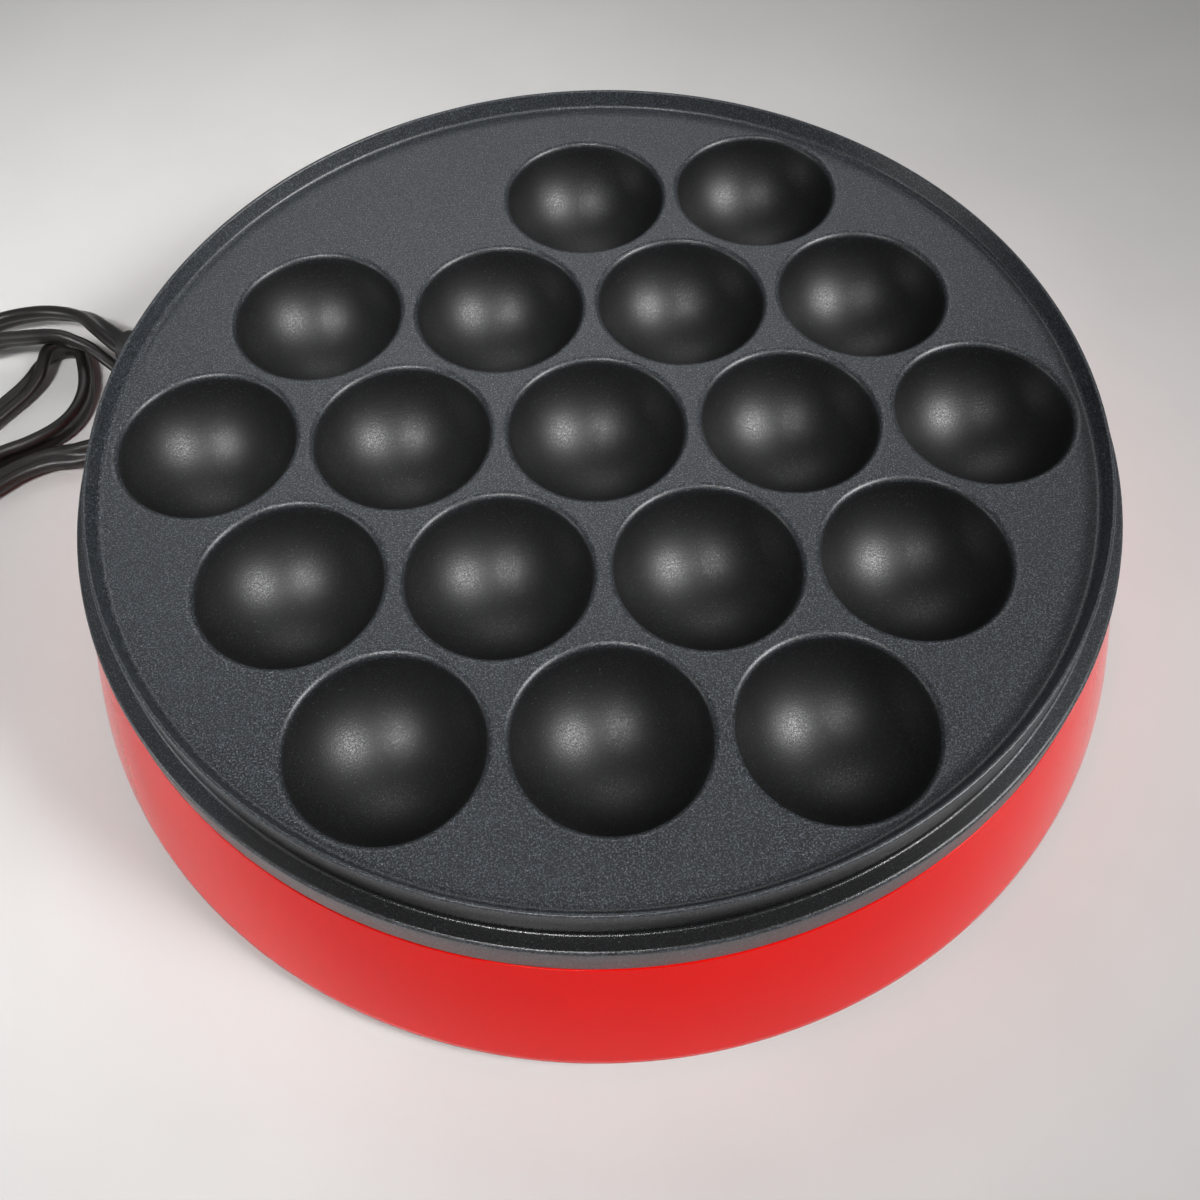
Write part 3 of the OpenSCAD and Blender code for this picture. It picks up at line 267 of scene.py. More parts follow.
def makeCoating():
    # sprayed non-stick coating on cast aluminium. On the flat it dries to a fine orange peel, a
    # grey that sparkles; the bowls are smoother, and their near-black colour is painted shade for
    # their dark insides, with the grain showing in their soft highlights. An attribute says where:
    # 0 on the flat, 1 in a bowl, and up to 2 where the front of the ledge is smoother still and
    # painted as dark as the bowls' shade
    peel, flakeSize, cloudSize = 0.36, 0.4, 14
    material, shader = newMaterial("NonstickCoating", IOR=1.62)
    where = objectPoints(material)
    bowl = addNode(material, "Attribute", {"attribute_name": "inBowl"})
    inBowl = (bowl, "Fac")
    grain = addNode(material, "TexNoise", Vector=where, Scale=1 / (peel * mm), Detail=3.0,
                    Roughness=0.6)
    cloud = addNode(material, "TexNoise", Vector=where, Scale=1 / (cloudSize * mm), Detail=4.0)

    # the grain's speckle, with a flake here and there painted bright as a glint of the coating's
    # sparkle, rarer in the bowls
    speckle = ramp(material, grain, [(0.32, toLinear("#101213")), (0.50, toLinear("#202327")),
                                     (0.70, toLinear("#61686f"))])
    # the near-black tone of the bowls and of the ledge's front is painted shade, grained like the
    # flat
    paintedShadeTone = ramp(material, grain, [(0.44, toLinear("#070708")), (0.54, toLinear("#0b0b0c")),
                                      (0.70, toLinear("#2c2e30"))])
    flakes = addNode(material, "TexVoronoi", Vector=where, Scale=1 / (flakeSize * mm))
    split = addNode(material, "SeparateColor", Color=(flakes, "Color"))
    spark = ramp(material, split, [(0.95, 0.0), (0.99, 1.0)])
    middle = ramp(material, flakes, [(0.20, 1.0), (0.40, 0.0)])
    paintedGlint = addNode(material, "Math", {"operation": "MULTIPLY"}, in0=spark, in1=middle)
    ground = addNode(material, "Mix", {"data_type": "RGBA"}, in0=inBowl, in6=speckle, in7=paintedShadeTone)
    rare = addNode(material, "MapRange", Value=inBowl, To_Min=0.30, To_Max=0.12)
    shine = addNode(material, "Math", {"operation": "MULTIPLY"}, in0=paintedGlint, in1=rare)
    colour = addNode(material, "Mix", {"data_type": "RGBA"}, in0=shine, in6=(ground, 2),
                     in7=toLinear("#c6cbd0"))
    link(material, colour, shader, "Base Color", 2)

    # roughness: in clouds on the flat, by the grain in the bowls, and less on the ledge's front
    flatRough = addNode(material, "MapRange", Value=cloud, To_Min=0.36, To_Max=0.42)
    bowlRough = addNode(material, "MapRange", Value=grain, From_Min=0.36, From_Max=0.66,
                        To_Min=0.56, To_Max=0.34)
    rough = addNode(material, "Mix", {"data_type": "FLOAT"}, in0=inBowl, in2=flatRough,
                    in3=bowlRough)
    polished = addNode(material, "MapRange", Value=inBowl, From_Min=1.0, From_Max=2.0,
                       To_Min=0.0, To_Max=0.2)
    smooth = addNode(material, "Math", {"operation": "SUBTRACT"}, in0=rough, in1=polished)
    link(material, smooth, shader, "Roughness")
    depth = addNode(material, "MapRange", Value=inBowl, To_Min=0.5, To_Max=0.8)
    bump = addNode(material, "Bump", Height=grain, Strength=depth, Distance=0.06 * mm)
    link(material, bump, shader, "Normal")
    return material


def makeRedGloss():
    # injection-moulded ABS in signal red from a polished mould: a deep even colour, a clear but
    # weak reflection of the table, and a very slight waviness where the moulding shrank
    wave, haze = 35, 1.2
    material, shader = newMaterial("RedAbs", IOR=1.46, Specular_IOR_Level=0.12)
    where = objectPoints(material)
    broad = addNode(material, "TexNoise", Vector=where, Scale=1 / (wave * mm), Detail=2.0)
    tone = ramp(material, broad, [(0.3, toLinear("#d60b06")), (0.7, toLinear("#dc0e08"))])
    link(material, tone, shader, "Base Color")
    fine = addNode(material, "TexNoise", Vector=where, Scale=1 / (haze * mm), Detail=4.0)
    rough = addNode(material, "MapRange", Value=fine, To_Min=0.10, To_Max=0.17)
    link(material, rough, shader, "Roughness")
    bump = addNode(material, "Bump", Height=broad, Strength=0.05, Distance=0.6 * mm)
    link(material, bump, shader, "Normal")
    return material


finish = {
    "plate_coating": makeCoating(),
    "body_red": makeRedGloss(),
    # moulded phenolic: dull black with a fine grain
    "base_black": plainGrain("BlackPhenolic", "#141415", "#1e1e20", 0.5, grain=0.5, strength=0.3),
    # moulded rubber: the dullest black here
    "foot_rubber": plainGrain("FootRubber", "#121212", "#1d1d1c", 0.7, grain=0.4, strength=0.25),
    # zinc-plated steel, turned or pressed: light grey, softly shining
    "plated_steel": plainGrain("ZincPlatedSteel", "#9d9c98", "#c4c3be", 0.34, metallic=1.0),
    # rolled steel sheet with an aluminium coat: brighter, with a coarser bloom
    "pan_steel": plainGrain("AluminisedSheet", "#b2b1ad", "#d0cfca", 0.3, metallic=1.0, grain=1.4),
    # drawn steel tube, browned by heat
    "heater_sheath": plainGrain("HeatedSheath", "#3a332e", "#5c524a", 0.5, metallic=0.9),
    # fired unglazed steatite: chalky cream
    "ceramic": plainGrain("Steatite", "#cfc8ba", "#e4dfd2", 0.62, grain=0.3, strength=0.2),
    # stamped brass with a tin wash: pale gold
    "tab_brass": plainGrain("TinnedBrass", "#a9987a", "#cfc3a4", 0.35, metallic=1.0),
    # turned aluminium: nearly white metal
    "sensor_aluminium": plainGrain("TurnedAluminium", "#b9b9b6", "#d5d5d1", 0.32, metallic=1.0),
    # moulded phenolic in brown
    "thermostat_body": plainGrain("BrownPhenolic", "#4a2c18", "#5e3a22", 0.45),
    # woven glass sleeve: matt off-white, its weave drawn as an even roughness
    "fuse_sleeve": plainGrain("GlassSleeve", "#cbc8bc", "#e2dfd4", 0.8, grain=0.5, strength=0.5),
    # moulded nylon: waxy off-white
    "block_plastic": plainGrain("WhiteNylon", "#c9c6bb", "#dbd8ce", 0.5),
    # extruded silicone and vinyl on the inner wires: plain colours with a low sheen
    "wire_red": plainGrain("RedSilicone", "#7c1a13", "#96241b", 0.5),
    "wire_white": plainGrain("WhiteSilicone", "#c6c3ba", "#dad7ce", 0.5),
    "wire_black": plainGrain("BlackVinyl", "#121212", "#1c1c1c", 0.45),
    # blown glass over a neon lamp's electrodes, drawn as one pale orange body
    "neon_glass": plainGrain("NeonGlass", "#c98a58", "#e0a472", 0.15),
    # moulded acrylic lens: smooth deep amber
    "lens_amber": plainGrain("AmberLens", "#9c3208", "#c24a10", 0.14, strength=0.02),
    # extruded flat cord: dark brown-black vinyl with long soft highlights
    "cord_vinyl": plainGrain("CordVinyl", "#171514", "#262322", 0.38, grain=0.9, strength=0.12),
    # moulded rubber bushing, tie and plug: blacks that differ in their sheen
    "cord_rubber": plainGrain("BushingRubber", "#151414", "#201f1e", 0.55, strength=0.2),
    "tie_plastic": plainGrain("TieVinyl", "#141414", "#1f1f1f", 0.45),
    "plug_plastic": plainGrain("PlugVinyl", "#151414", "#201e1e", 0.42, grain=0.7, strength=0.2),
    # stamped and nickelled brass: the brightest metal here
    "blade_brass": plainGrain("NickelledBrass", "#b8a878", "#d6c99c", 0.25, metallic=1.0),
}

for row in frame["record"]["subparts"]:
    mesh = nodes[row["node"]].data
    mesh.materials.clear()
    mesh.materials.append(finish[row["material_slot"]])
print("materials done")

# place, lens and sensor in mm, angles in degrees: fitted to where the cups stand in the
# photograph. What is nearer than clip, in metres, isn't drawn
view = {"place": (-2.25, -175.2, 269.1), "turn": -0.5687, "height": 59.318, "roll": -1.9905,
        "lens": 35.78, "sensor": 36.0, "clip": 0.01}


def makeCamera(v):
    # back points from the object to the camera; right and up lie in the picture and roll with it
    turn, height, roll = (np.radians(v[key]) for key in ("turn", "height", "roll"))
    back = np.array([np.sin(turn) * np.cos(height), -np.cos(turn) * np.cos(height), np.sin(height)])
    right = np.array([np.cos(turn), np.sin(turn), 0.0])
    up = np.cross(back, right)
    across = np.cos(roll) * right + np.sin(roll) * up
    upward = np.cos(roll) * up - np.sin(roll) * right
    data = bpy.data.cameras.new("camera")
    data.lens, data.sensor_width = v["lens"], v["sensor"]
    data.clip_start = v["clip"]
    camera = bpy.data.objects.new("camera", data)
    bpy.context.scene.collection.objects.link(camera)
    turnMatrix = Matrix([list(row) for row in np.stack([across, upward, back], 1)]).to_4x4()
    camera.matrix_world = Matrix.Translation(Vector(v["place"]) * mm) @ turnMatrix
    bpy.context.scene.camera = camera


makeCamera(view)

cordSet = {
    "length": 1.2, "width": 7.0, "thick": 3.6, "web": 2.5, "ringSpacing": 1.25, "sectionSteps": 32,
    # the straight run through the bushing, from the face of the body's pad to the tail's end
    "exitAngle": 153.0, "exitZ": 13.5, "padFace": 131.2, "midway": 9.0, "flange": 2.5, "tail": 16.0,
    # points of the route: x, y, z and roll, 0 lying flat and 90 on edge
    "lead": [(-142, 76, 12.5, 25), (-149, 83, 10.5, 45), (-157, 87, 8.5, 60), (-166, 89, 7, 62),
             (-177, 88, 5.5, 68), (-189, 82, 4.4, 80), (-200, 70, 3.9, 90), (-206, 54, 3.7, 90),
             (-209, 34, 3.7, 90), (-209, 12, 3.8, 90)],
    "outerFold": [(-207.5, -8, 4, 90), (-206, -26, 4.2, 90), (-204.8, -47, 4.4, 90),
                  (-206.4, -66, 4.2, 90), (-209.4, -84, 3.8, 90), (-210, -94, 3.7, 90),
                  (-208.1, -103, 3.6, 90), (-203, -108.4, 3.6, 90), (-196, -110.3, 3.6, 90),
                  (-189, -108.4, 3.6, 90), (-183.9, -103, 3.6, 90), (-182, -94, 3.7, 90),
                  (-182.6, -84, 3.8, 90), (-185.6, -66, 4.2, 90), (-187.2, -47, 4.4, 90),
                  (-186, -26, 4.2, 90), (-184.4, -8, 4.2, 75)],
    "largeLoop": [(-183, 8, 4.2, 50), (-176, 20, 3.2, 10), (-166, 29.5, 3.2, 0),
                  (-159.5, 34, 3.2, 0), (-152.5, 36.5, 3.4, 8), (-145.5, 37, 3.8, 35),
                  (-137, 40, 4, 70), (-131.5, 45.5, 4.2, 85), (-129.5, 53, 4.4, 90),
                  (-132.5, 60.5, 4.8, 85), (-139, 66.8, 6.4, 75), (-145, 71.4, 8.8, 65),
                  (-149.5, 73.4, 10.3, 60), (-153.5, 74.6, 11.4, 60), (-159, 75.4, 11.4, 60),
                  (-166, 76.2, 10.2, 62), (-174, 76.6, 8.8, 66), (-184, 73, 7.2, 74),
                  (-194, 61.5, 6, 85), (-199, 47, 4.8, 90), (-202.4, 30, 3.9, 90),
                  (-202.8, 10, 3.9, 90)],
    "innerFold": [(-202.2, -8, 4, 90), (-201.2, -26, 4.2, 90), (-200.4, -47, 4.4, 90),
                  (-201.2, -62, 4.2, 90), (-203.2, -76, 3.9, 90), (-204.8, -86, 3.7, 90),
                  (-204.8, -94, 3.6, 90), (-203, -98.8, 3.6, 90), (-200, -101.6, 3.6, 90),
                  (-196, -102.6, 3.6, 90), (-192, -101.6, 3.6, 90), (-189, -98.8, 3.6, 90),
                  (-187.2, -94, 3.6, 90), (-187.2, -86, 3.7, 90), (-188.8, -76, 3.9, 90),
                  (-190.8, -62, 4.2, 90), (-191.6, -47, 4.4, 90), (-190.8, -26, 4.2, 90),
                  (-190, -8, 4, 90)],
    "smallLoop": [(-189.4, 10, 4, 90), (-180, 27.5, 3.8, 90), (-167.5, 37, 3.8, 90),
                  (-160.5, 40.5, 3.7, 90), (-155.5, 43.5, 3.7, 90), (-151.5, 47, 3.7, 90),
                  (-148.7, 51.5, 3.7, 90), (-147.5, 56.5, 3.7, 90), (-147.5, 61.5, 3.7, 90),
                  (-148.5, 66.5, 3.7, 90), (-150, 71.5, 3.7, 90), (-151.9, 76.1, 3.7, 90),
                  (-156.5, 78, 3.7, 90), (-161.1, 76.1, 3.7, 78), (-163, 71.5, 3.4, 45),
                  (-164, 67.5, 2.8, 20), (-166.4, 63, 2.2, 5), (-170.5, 57.5, 2, 0),
                  (-183, 41, 2.2, 0), (-192, 26, 3.2, 20), (-195.6, 12, 4.2, 60)],
    "lastRun": [(-196, -8, 4.2, 80), (-196, -26, 4.3, 90), (-196, -47, 4.4, 90),
                (-196, -58, 4.6, 85), (-196, -68, 5.6, 55), (-196, -78, 7.4, 20),
                (-196, -88, 9, 0), (-196, -98, 9.4, 0), (-196, -108, 9.4, 0),
                (-196, -118, 8.6, 0), (-194, -129, 7.6, 0), (-190, -139, 7, 0),
                (-187, -148, 7, 0), (-187, -156, 7, 0)],
}


def cordSection(c):
    # two round cores side by side, joined by a thinner web: half the thickness at x is that of
    # the nearer core's circle, or of the web where that is more
    t = np.radians(fullTurn(c["sectionSteps"]))
    coreRadius = c["thick"] / 2
    x = c["width"] / 2 * np.cos(t)
    fromCore = np.abs(x) - (c["width"] / 2 - coreRadius)
    circle = np.sqrt(np.clip(coreRadius ** 2 - fromCore ** 2, 0, None))
    inner = np.abs(x) < c["width"] / 2 - coreRadius
    half = np.where(inner, np.maximum(circle, c["web"] / 2), circle)
    return np.stack([x, half * np.sign(np.round(np.sin(t), 6))], 1)


def makeCord(c):
    def onExit(radius):
        return (*polar(radius, c["exitAngle"], c["exitZ"]), 0.0)
    tailEnd = c["padFace"] + c["flange"] + c["tail"]
    points = [onExit(c["padFace"]), onExit(c["padFace"] + c["midway"]), onExit(tailEnd)]
    for stretch in ("lead", "outerFold", "largeLoop", "innerFold", "smallLoop", "lastRun"):
        points += c[stretch]
    path, length = evenPath(smoothPath(np.array(points, float), steps=12), c["ringSpacing"])
    print("cord length in mm", round(length, 1))
    surface = Surface()
    surface.addGrid(sweepSection(path, cordSection(c)), ends=True)
    cord = surface.piece("powerCord", finish["cord_vinyl"], sharp=60)
    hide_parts("cord_lead", "cord_loop_small", "cord_loop_large", "cord_hank", "cord_tail")
    return cord, path[:, :3] * mm


powerCord, cordPath = makeCord(cordSet)
print("cord done")

plateSet = {
    # the cups, in rows on a triangular grid from the back, with one place left without a cup
    "pitch": 45.0, "rows": (2, 1, 0, -1, -2), "rowLength": 5, "bare": (2, 0),
    "cupRadius": 20.5, "cupDepth": 19.0, "edgeRadius": 1.6, "flatRing": 0.12, "poleAngle": 88.5,
    # the rim: a lip round the flat, a ledge outside it, and the skirt
    "flatZ": 52.5, "wall": 3.0, "margin": 1.5, "lipHeight": 4.4, "lipRound": 0.5, "lipLean": 14.0,
    "ledgeDrop": 4.2, "ledgeWidth": 3.9, "skirtHeight": 8.7, "skirtWall": 2.4, "draft": 3.5,
    "floorFillet": 1.2, "ledgeFillet": 0.8, "ledgeRound": 0.9, "skirtEdge": 0.4,
    # the underside's corners, as distances inwards from the skirt's inner edge
    "skirtTaper": 0.35, "shoulder": 4.2, "underEdge": 4.6,
    "rimSegments": 288, "shellRows": 11, "sharedSteps": 6, "freeSteps": 10,
}
castSet = {
    "channel": {"ring": 62.0, "width": 10.6, "z": 31.5, "groove": 3.6, "topSteps": 15,
                "segments": 360},
    "boss": {"radius": 7.0, "z": 33.0, "bevel": 0.4, "topSteps": 7, "segments": 48},
    "legs": {"count": 6, "first": 30.0, "spread": 16.0, "outer": 112.9, "width": 3.6, "z": 36.8,
             "steps": 12},
}
# where the coating is smooth and painted dark as shade: fully so from bowlDepth down in a bowl,
# and on the ledge by its side value, or by its larger front value where it faces within the
# front's range of directions, so that the ledge's front gets the most painted shade
smoothAndShadeSet = {
    "bowlDepth": 1.6, "bowlMargin": 0.1, "ledgeInset": 0.5, "ledgeBelow": 0.3, "ledgeBand": 1.2,
    "ledgeSide": 0.3, "ledgeFront": 2.0, "frontStart": 0.72, "frontRange": 0.2,
}


def cupPlaces(p):
    places = []
    for row in p["rows"]:
        count = p["rowLength"] - abs(row)
        for i in range(count):
            if (row, i) != p["bare"]:
                places.append(((i - (count - 1) / 2) * p["pitch"],
                               row * p["pitch"] * np.sin(np.radians(60))))
    return np.array(places)


def plateSizes(p):
    # the sizes that follow from the settings, which the functions below take as s
    s = SimpleNamespace()
    lean, draft = np.radians(p["lipLean"]), np.radians(p["draft"])

    # a cup is a sphere whose middle is rise above the flat. Its rounded edge touches both, so
    # the edge's middle is an edge radius under the flat and outside the sphere
    s.rise = p["cupRadius"] - p["cupDepth"]
    reach, drop = p["cupRadius"] + p["edgeRadius"], s.rise + p["edgeRadius"]
    s.mouth = np.sqrt(reach ** 2 - drop ** 2)
    s.touch = np.degrees(np.arcsin(drop / reach))
    # its outer shell, and the circle in which the shell reaches the underside
    s.shell = p["cupRadius"] + p["wall"]
    s.under = p["flatZ"] - p["wall"]
    s.opening = np.sqrt(s.shell ** 2 - (s.rise + p["wall"]) ** 2)

    # the rim from the flat outwards; lip and ledge have leaning sides that touch their roundings
    floorRadius = 2 * p["pitch"] + s.mouth + p["margin"]
    s.lipIn = floorRadius - p["floorFillet"] * (1 - np.sin(lean)) / np.cos(lean)
    s.lipTop = p["flatZ"] + p["lipHeight"]
    straight = p["lipHeight"] - p["lipRound"]
    s.lipMid = floorRadius + (p["lipRound"] + straight * np.sin(lean)) / np.cos(lean)
    s.ledgeZ = p["flatZ"] - p["ledgeDrop"]
    s.ledgeIn = (s.lipMid + p["lipRound"] / np.cos(draft)
                 + (s.lipTop - p["lipRound"] - s.ledgeZ) * np.tan(draft))
    s.ledgeOut = s.ledgeIn + p["ledgeWidth"]
    s.skirtZ = s.ledgeZ - p["skirtHeight"]
    s.skirtOut = s.ledgeOut + p["skirtHeight"] * np.tan(draft)
    s.skirtIn = s.skirtOut - p["skirtWall"]
    s.underRadius = s.skirtIn - p["underEdge"]
    # how far a rounding's middle is from the corner that it rounds, for 1 mm of radius, where
    # a level face meets a side that leans by the draft
    s.corner = (1 - np.sin(draft)) / np.cos(draft)
    return s


def cupAngles(p, s):
    # angles round a cup, in six equal sectors, with points where two cups' undersides meet: the
    # cosine of that angle is half the pitch over the radius of the underside's opening
    meet = np.degrees(np.arccos(p["pitch"] / 2 / s.opening))
    shared = np.linspace(-meet, meet, p["sharedSteps"] + 1)[:-1]
    free = np.linspace(meet, 60 - meet, p["freeSteps"] + 1)[:-1]
    return (np.concatenate([shared, free]) + np.arange(6)[:, None] * 60).ravel()


def fromCups(points, cups):
    # how far each point is from the axis of the nearest cup
    return np.linalg.norm(points[..., None, :2] - cups, axis=-1).min(-1)


def sheetAroundCups(radius, segments, hole, cups, angles):
    # flat triangles between a circle and the holes round the cups
    def circle(centre, size, turns):
        a = np.radians(turns)
        return np.stack([centre[0] + size * np.cos(a), centre[1] + size * np.sin(a)], 1)
    rings = [circle((0, 0), radius, fullTurn(segments))] + [circle(c, hole, angles) for c in cups]
    edges, first = [], 0
    for ring in rings:
        i = np.arange(len(ring))
        edges += np.stack([first + i, first + np.roll(i, -1)], 1).tolist()
        first += len(ring)
    corners, everyTriangle, tolerance = [Vector(p) for p in np.vstack(rings)], 0, 1e-5
    found = delaunay_2d_cdt(corners, edges, [], everyTriangle, tolerance)
    points = np.array([tuple(point) for point in found[0]])
    triangles = np.array(found[2])
    # the middle of a triangle inside a hole is nearer than that of the hole's longest chord
    middle = points[triangles].mean(1)
    chord = hole * np.cos(np.radians(np.diff(angles).max() / 2))
    kept = (fromCups(middle, cups) > chord) & (np.hypot(*middle.T) < radius)
    return points, triangles[kept]


def addBowls(surface, p, s, cups, angles):
    # a flat ring, the rounded edge, and the sphere down to a small cap at its pole
    z0 = p["flatZ"]
    edge = arcPoints((s.mouth, z0 - p["edgeRadius"]), p["edgeRadius"], 90, 180 - s.touch, steps=9)
    bowl = arcPoints((0, z0 + s.rise), p["cupRadius"], -s.touch, -p["poleAngle"], steps=22)
    profile = np.vstack([[[s.mouth + p["flatRing"], z0]], edge, bowl[1:]])
    for cup in cups:
        first = surface.addGrid(turned(profile, angles, cup))
        surface.cap(first + (len(profile) - 1) * len(angles), len(angles))


def rimProfile(p, s):
    # from the flat over lip, ledge and skirt, and round to the underside
    underLedge = s.ledgeZ - p["wall"]
    return np.vstack([
        [[s.lipIn - p["flatRing"], p["flatZ"]]],
        arcPoints((s.lipIn, p["flatZ"] + p["floorFillet"]), p["floorFillet"], -90, -p["lipLean"],
                  steps=8),
        arcPoints((s.lipMid, s.lipTop - p["lipRound"]), p["lipRound"], 180 - p["lipLean"],
                  p["draft"], steps=12),
        arcPoints((s.ledgeIn + p["ledgeFillet"] * s.corner, s.ledgeZ + p["ledgeFillet"]),
                  p["ledgeFillet"], 180 + p["draft"], 270, steps=8),
        arcPoints((s.ledgeOut - p["ledgeRound"] * s.corner, s.ledgeZ - p["ledgeRound"]),
                  p["ledgeRound"], 90, p["draft"], steps=8),
        arcPoints((s.skirtOut - p["skirtEdge"], s.skirtZ + p["skirtEdge"]), p["skirtEdge"], 0, -90,
                  steps=5),
        [[s.skirtIn, s.skirtZ], [s.skirtIn - p["skirtTaper"], underLedge],
         [s.skirtIn - p["shoulder"], underLedge], [s.underRadius, s.under]]])


def addShells(surface, p, s, cups, angles):
    # the outer shell of each bowl, cut by the upright plane halfway to each of its neighbours:
    # from the sphere's middle a point is R (sin d cos a, sin d sin a, -cos d) away, with d
    # running from near the pole to where the shell ends in the direction a
    share = (np.arange(1, p["shellRows"] + 1) / p["shellRows"])[:, None]
    turns = np.radians(angles)
    for cup in cups:
        reach = np.full(len(angles), s.opening)
        for other in cups:
            distance = np.hypot(*(other - cup))
            if 0 < distance < 1.1 * p["pitch"]:     # a neighbour, as the next cups are 1.7 away
                along = np.cos(turns - np.arctan2(*(other - cup)[::-1]))
                facing = along > 0.5    # within 60 degrees of the neighbour
                cut = distance / 2 / np.where(facing, along, 1)
                reach = np.where(facing, np.minimum(reach, cut), reach)
        down = np.arcsin(reach / s.shell) * share
        first = surface.addGrid(np.stack([
            cup[0] + s.shell * np.sin(down) * np.cos(turns),
            cup[1] + s.shell * np.sin(down) * np.sin(turns),
            p["flatZ"] + s.rise - s.shell * np.cos(down)], -1))
        surface.cap(first, len(angles), flip=True)


def markSmoothAndShade(mesh, m, p, s, cups):
    # writes how smooth the coating is, and how much painted shade it gets, into an attribute, as the
    # settings say
    points = np.empty(len(mesh.vertices) * 3)
    mesh.vertices.foreach_get("co", points)
    points = points.reshape(-1, 3) / mm
    x, y, z = points.T
    radius = np.hypot(x, y)
    inBowl = np.clip((p["flatZ"] - z) / m["bowlDepth"], 0, 1)
    inBowl = np.where(fromCups(points, cups) < s.mouth + m["bowlMargin"], inBowl, 0)
    # painted shade on the ledge, darkest where it faces the front
    frontShade = np.clip((-y / np.maximum(radius, 1) - m["frontStart"]) / m["frontRange"], 0, 1)
    ledge = m["ledgeSide"] + (m["ledgeFront"] - m["ledgeSide"]) * frontShade
    floor = s.ledgeZ - m["ledgeBelow"]
    onLedge = ((radius > s.lipMid + m["ledgeInset"]) & (radius < s.ledgeOut - m["ledgeInset"])
               & (z > floor) & (z < floor + m["ledgeBand"]))
    data = mesh.attributes.new("inBowl", "FLOAT", "POINT").data
    data.foreach_set("value", np.where(onLedge, ledge, inBowl))


def makePlate(p, s, cups):
    angles = cupAngles(p, s)
    surface = Surface()
    addBowls(surface, p, s, cups, angles)
    flat, triangles = sheetAroundCups(s.lipIn - p["flatRing"], p["rimSegments"],
                                      s.mouth + p["flatRing"], cups, angles)
    surface.add(np.column_stack([flat, np.full(len(flat), p["flatZ"])]), triangles)
    surface.addGrid(turned(rimProfile(p, s)[::-1], fullTurn(p["rimSegments"])))
    addShells(surface, p, s, cups, angles)
    beneath, triangles = sheetAroundCups(s.underRadius, p["rimSegments"], s.opening, cups, angles)
    surface.add(np.column_stack([beneath, np.full(len(beneath), s.under)]), triangles[:, ::-1])
    plate = surface.piece("cookingPlate", finish["plate_coating"], "plate", sharp=40, weld=True)
    markSmoothAndShade(plate.data, smoothAndShadeSet, p, s, cups)
    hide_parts("cooking_plate")


def makeCastings(c, p, s, cups):
    # cast on below: the heater's channel, the sensor's boss and the legs, all with their tops
    # inside the casting, halfway through a bowl's shell or through the flat
    level, shell = s.under + p["wall"] / 2, s.shell - p["wall"] / 2

    def halfway(points):
        away = fromCups(points, cups)
        deep = p["flatZ"] + s.rise - np.sqrt(np.clip(shell ** 2 - away ** 2, 0, None))
        return np.where(away < shell, np.minimum(deep, level), level)

    features = Surface()
    v = c["channel"]
    inner, outer = v["ring"] - v["width"] / 2, v["ring"] + v["width"] / 2
    across = np.linspace(inner, outer, v["topSteps"])
    groove = arcPoints((v["ring"], v["z"]), v["groove"], 0, 180, steps=16)
    section = np.vstack([[[outer, v["z"]]], groove, [[inner, v["z"]]],
                         np.stack([across, 0 * across], 1)])
    grid = turned(section, fullTurn(v["segments"]))
    grid[-v["topSteps"]:, :, 2] = halfway(grid[-v["topSteps"]:])
    features.addGrid(grid[::-1], closeRows=True)

    v = c["boss"]
    inward = np.linspace(v["radius"], poleRadius, v["topSteps"])
    foot = [[poleRadius, v["z"]], [v["radius"] - v["bevel"], v["z"]],
            [v["radius"], v["z"] + v["bevel"]]]
    profile = np.vstack([foot, np.stack([inward, 0 * inward], 1)])
    grid = turned(profile, fullTurn(v["segments"]), centre=(0, p["pitch"] / np.sqrt(3)))
    grid[len(foot):, :, 2] = halfway(grid[len(foot):])
    features.addGrid(grid, ends=True)

    v = c["legs"]
    inner, outer = v["outer"] - v["width"], v["outer"]
    corners = np.array([[outer, v["z"]], [inner, v["z"]], [inner, level], [outer, level]])
    span = np.linspace(-v["spread"] / 2, v["spread"] / 2, v["steps"] + 1)
    for k in range(v["count"]):
        leg = turned(corners, v["first"] + k * 360 / v["count"] + span)
        features.addGrid(leg.transpose(1, 0, 2), ends=True)
    cast = features.piece("plateUnderside", finish["plate_coating"], "plate")
    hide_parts("cooking_plate")


cupMiddles, plateParts = cupPlaces(plateSet), plateSizes(plateSet)
makePlate(plateSet, plateParts, cupMiddles)
makeCastings(castSet, plateSet, plateParts, cupMiddles)
print("cooking plate done")

bodySet = {
    # the flared wall, and the upstand and shelf that hold the plate
    "top": 39.0, "topRadius": 120.4, "foot": 3.0, "flare": 11.0, "bulge": 0.45, "wall": 2.5,
    "footEdge": 1.0, "topEdge": 0.25, "rimRadius": 116.5, "rimWall": 2.4, "rimTop": 44.1,
    "rimEdge": 0.4, "shelfZ": 36.0, "shelf": 2.5, "shelfRadius": 110.1,
    # the edges' roundings end about where they meet the leaning wall, at this angle
    "edgeEnd": 12.0, "wallSteps": 28, "segments": 288,
}
# round pads on the wall: one round the cord's exit and one round the lamp's lens. Their depth
# is how far they start inside the wall
padSet = {"radius": 7.8, "depth": 5.0, "edge": 0.3, "segments": 64}
lampSet = {"angle": 90.0, "z": 21.0, "radius": 7.0, "depth": 5.5, "rise": 1.4, "edge": 0.7,
           "hole": 4.15, "segments": 64}


def bodyRadius(b, z):
    # the wall at height z: a straight flare, and a parabola's bulge that is 0 at both ends
    down = (b["top"] - z) / (b["top"] - b["foot"])
    return b["topRadius"] + down * b["flare"] + 4 * b["bulge"] * down * (1 - down)


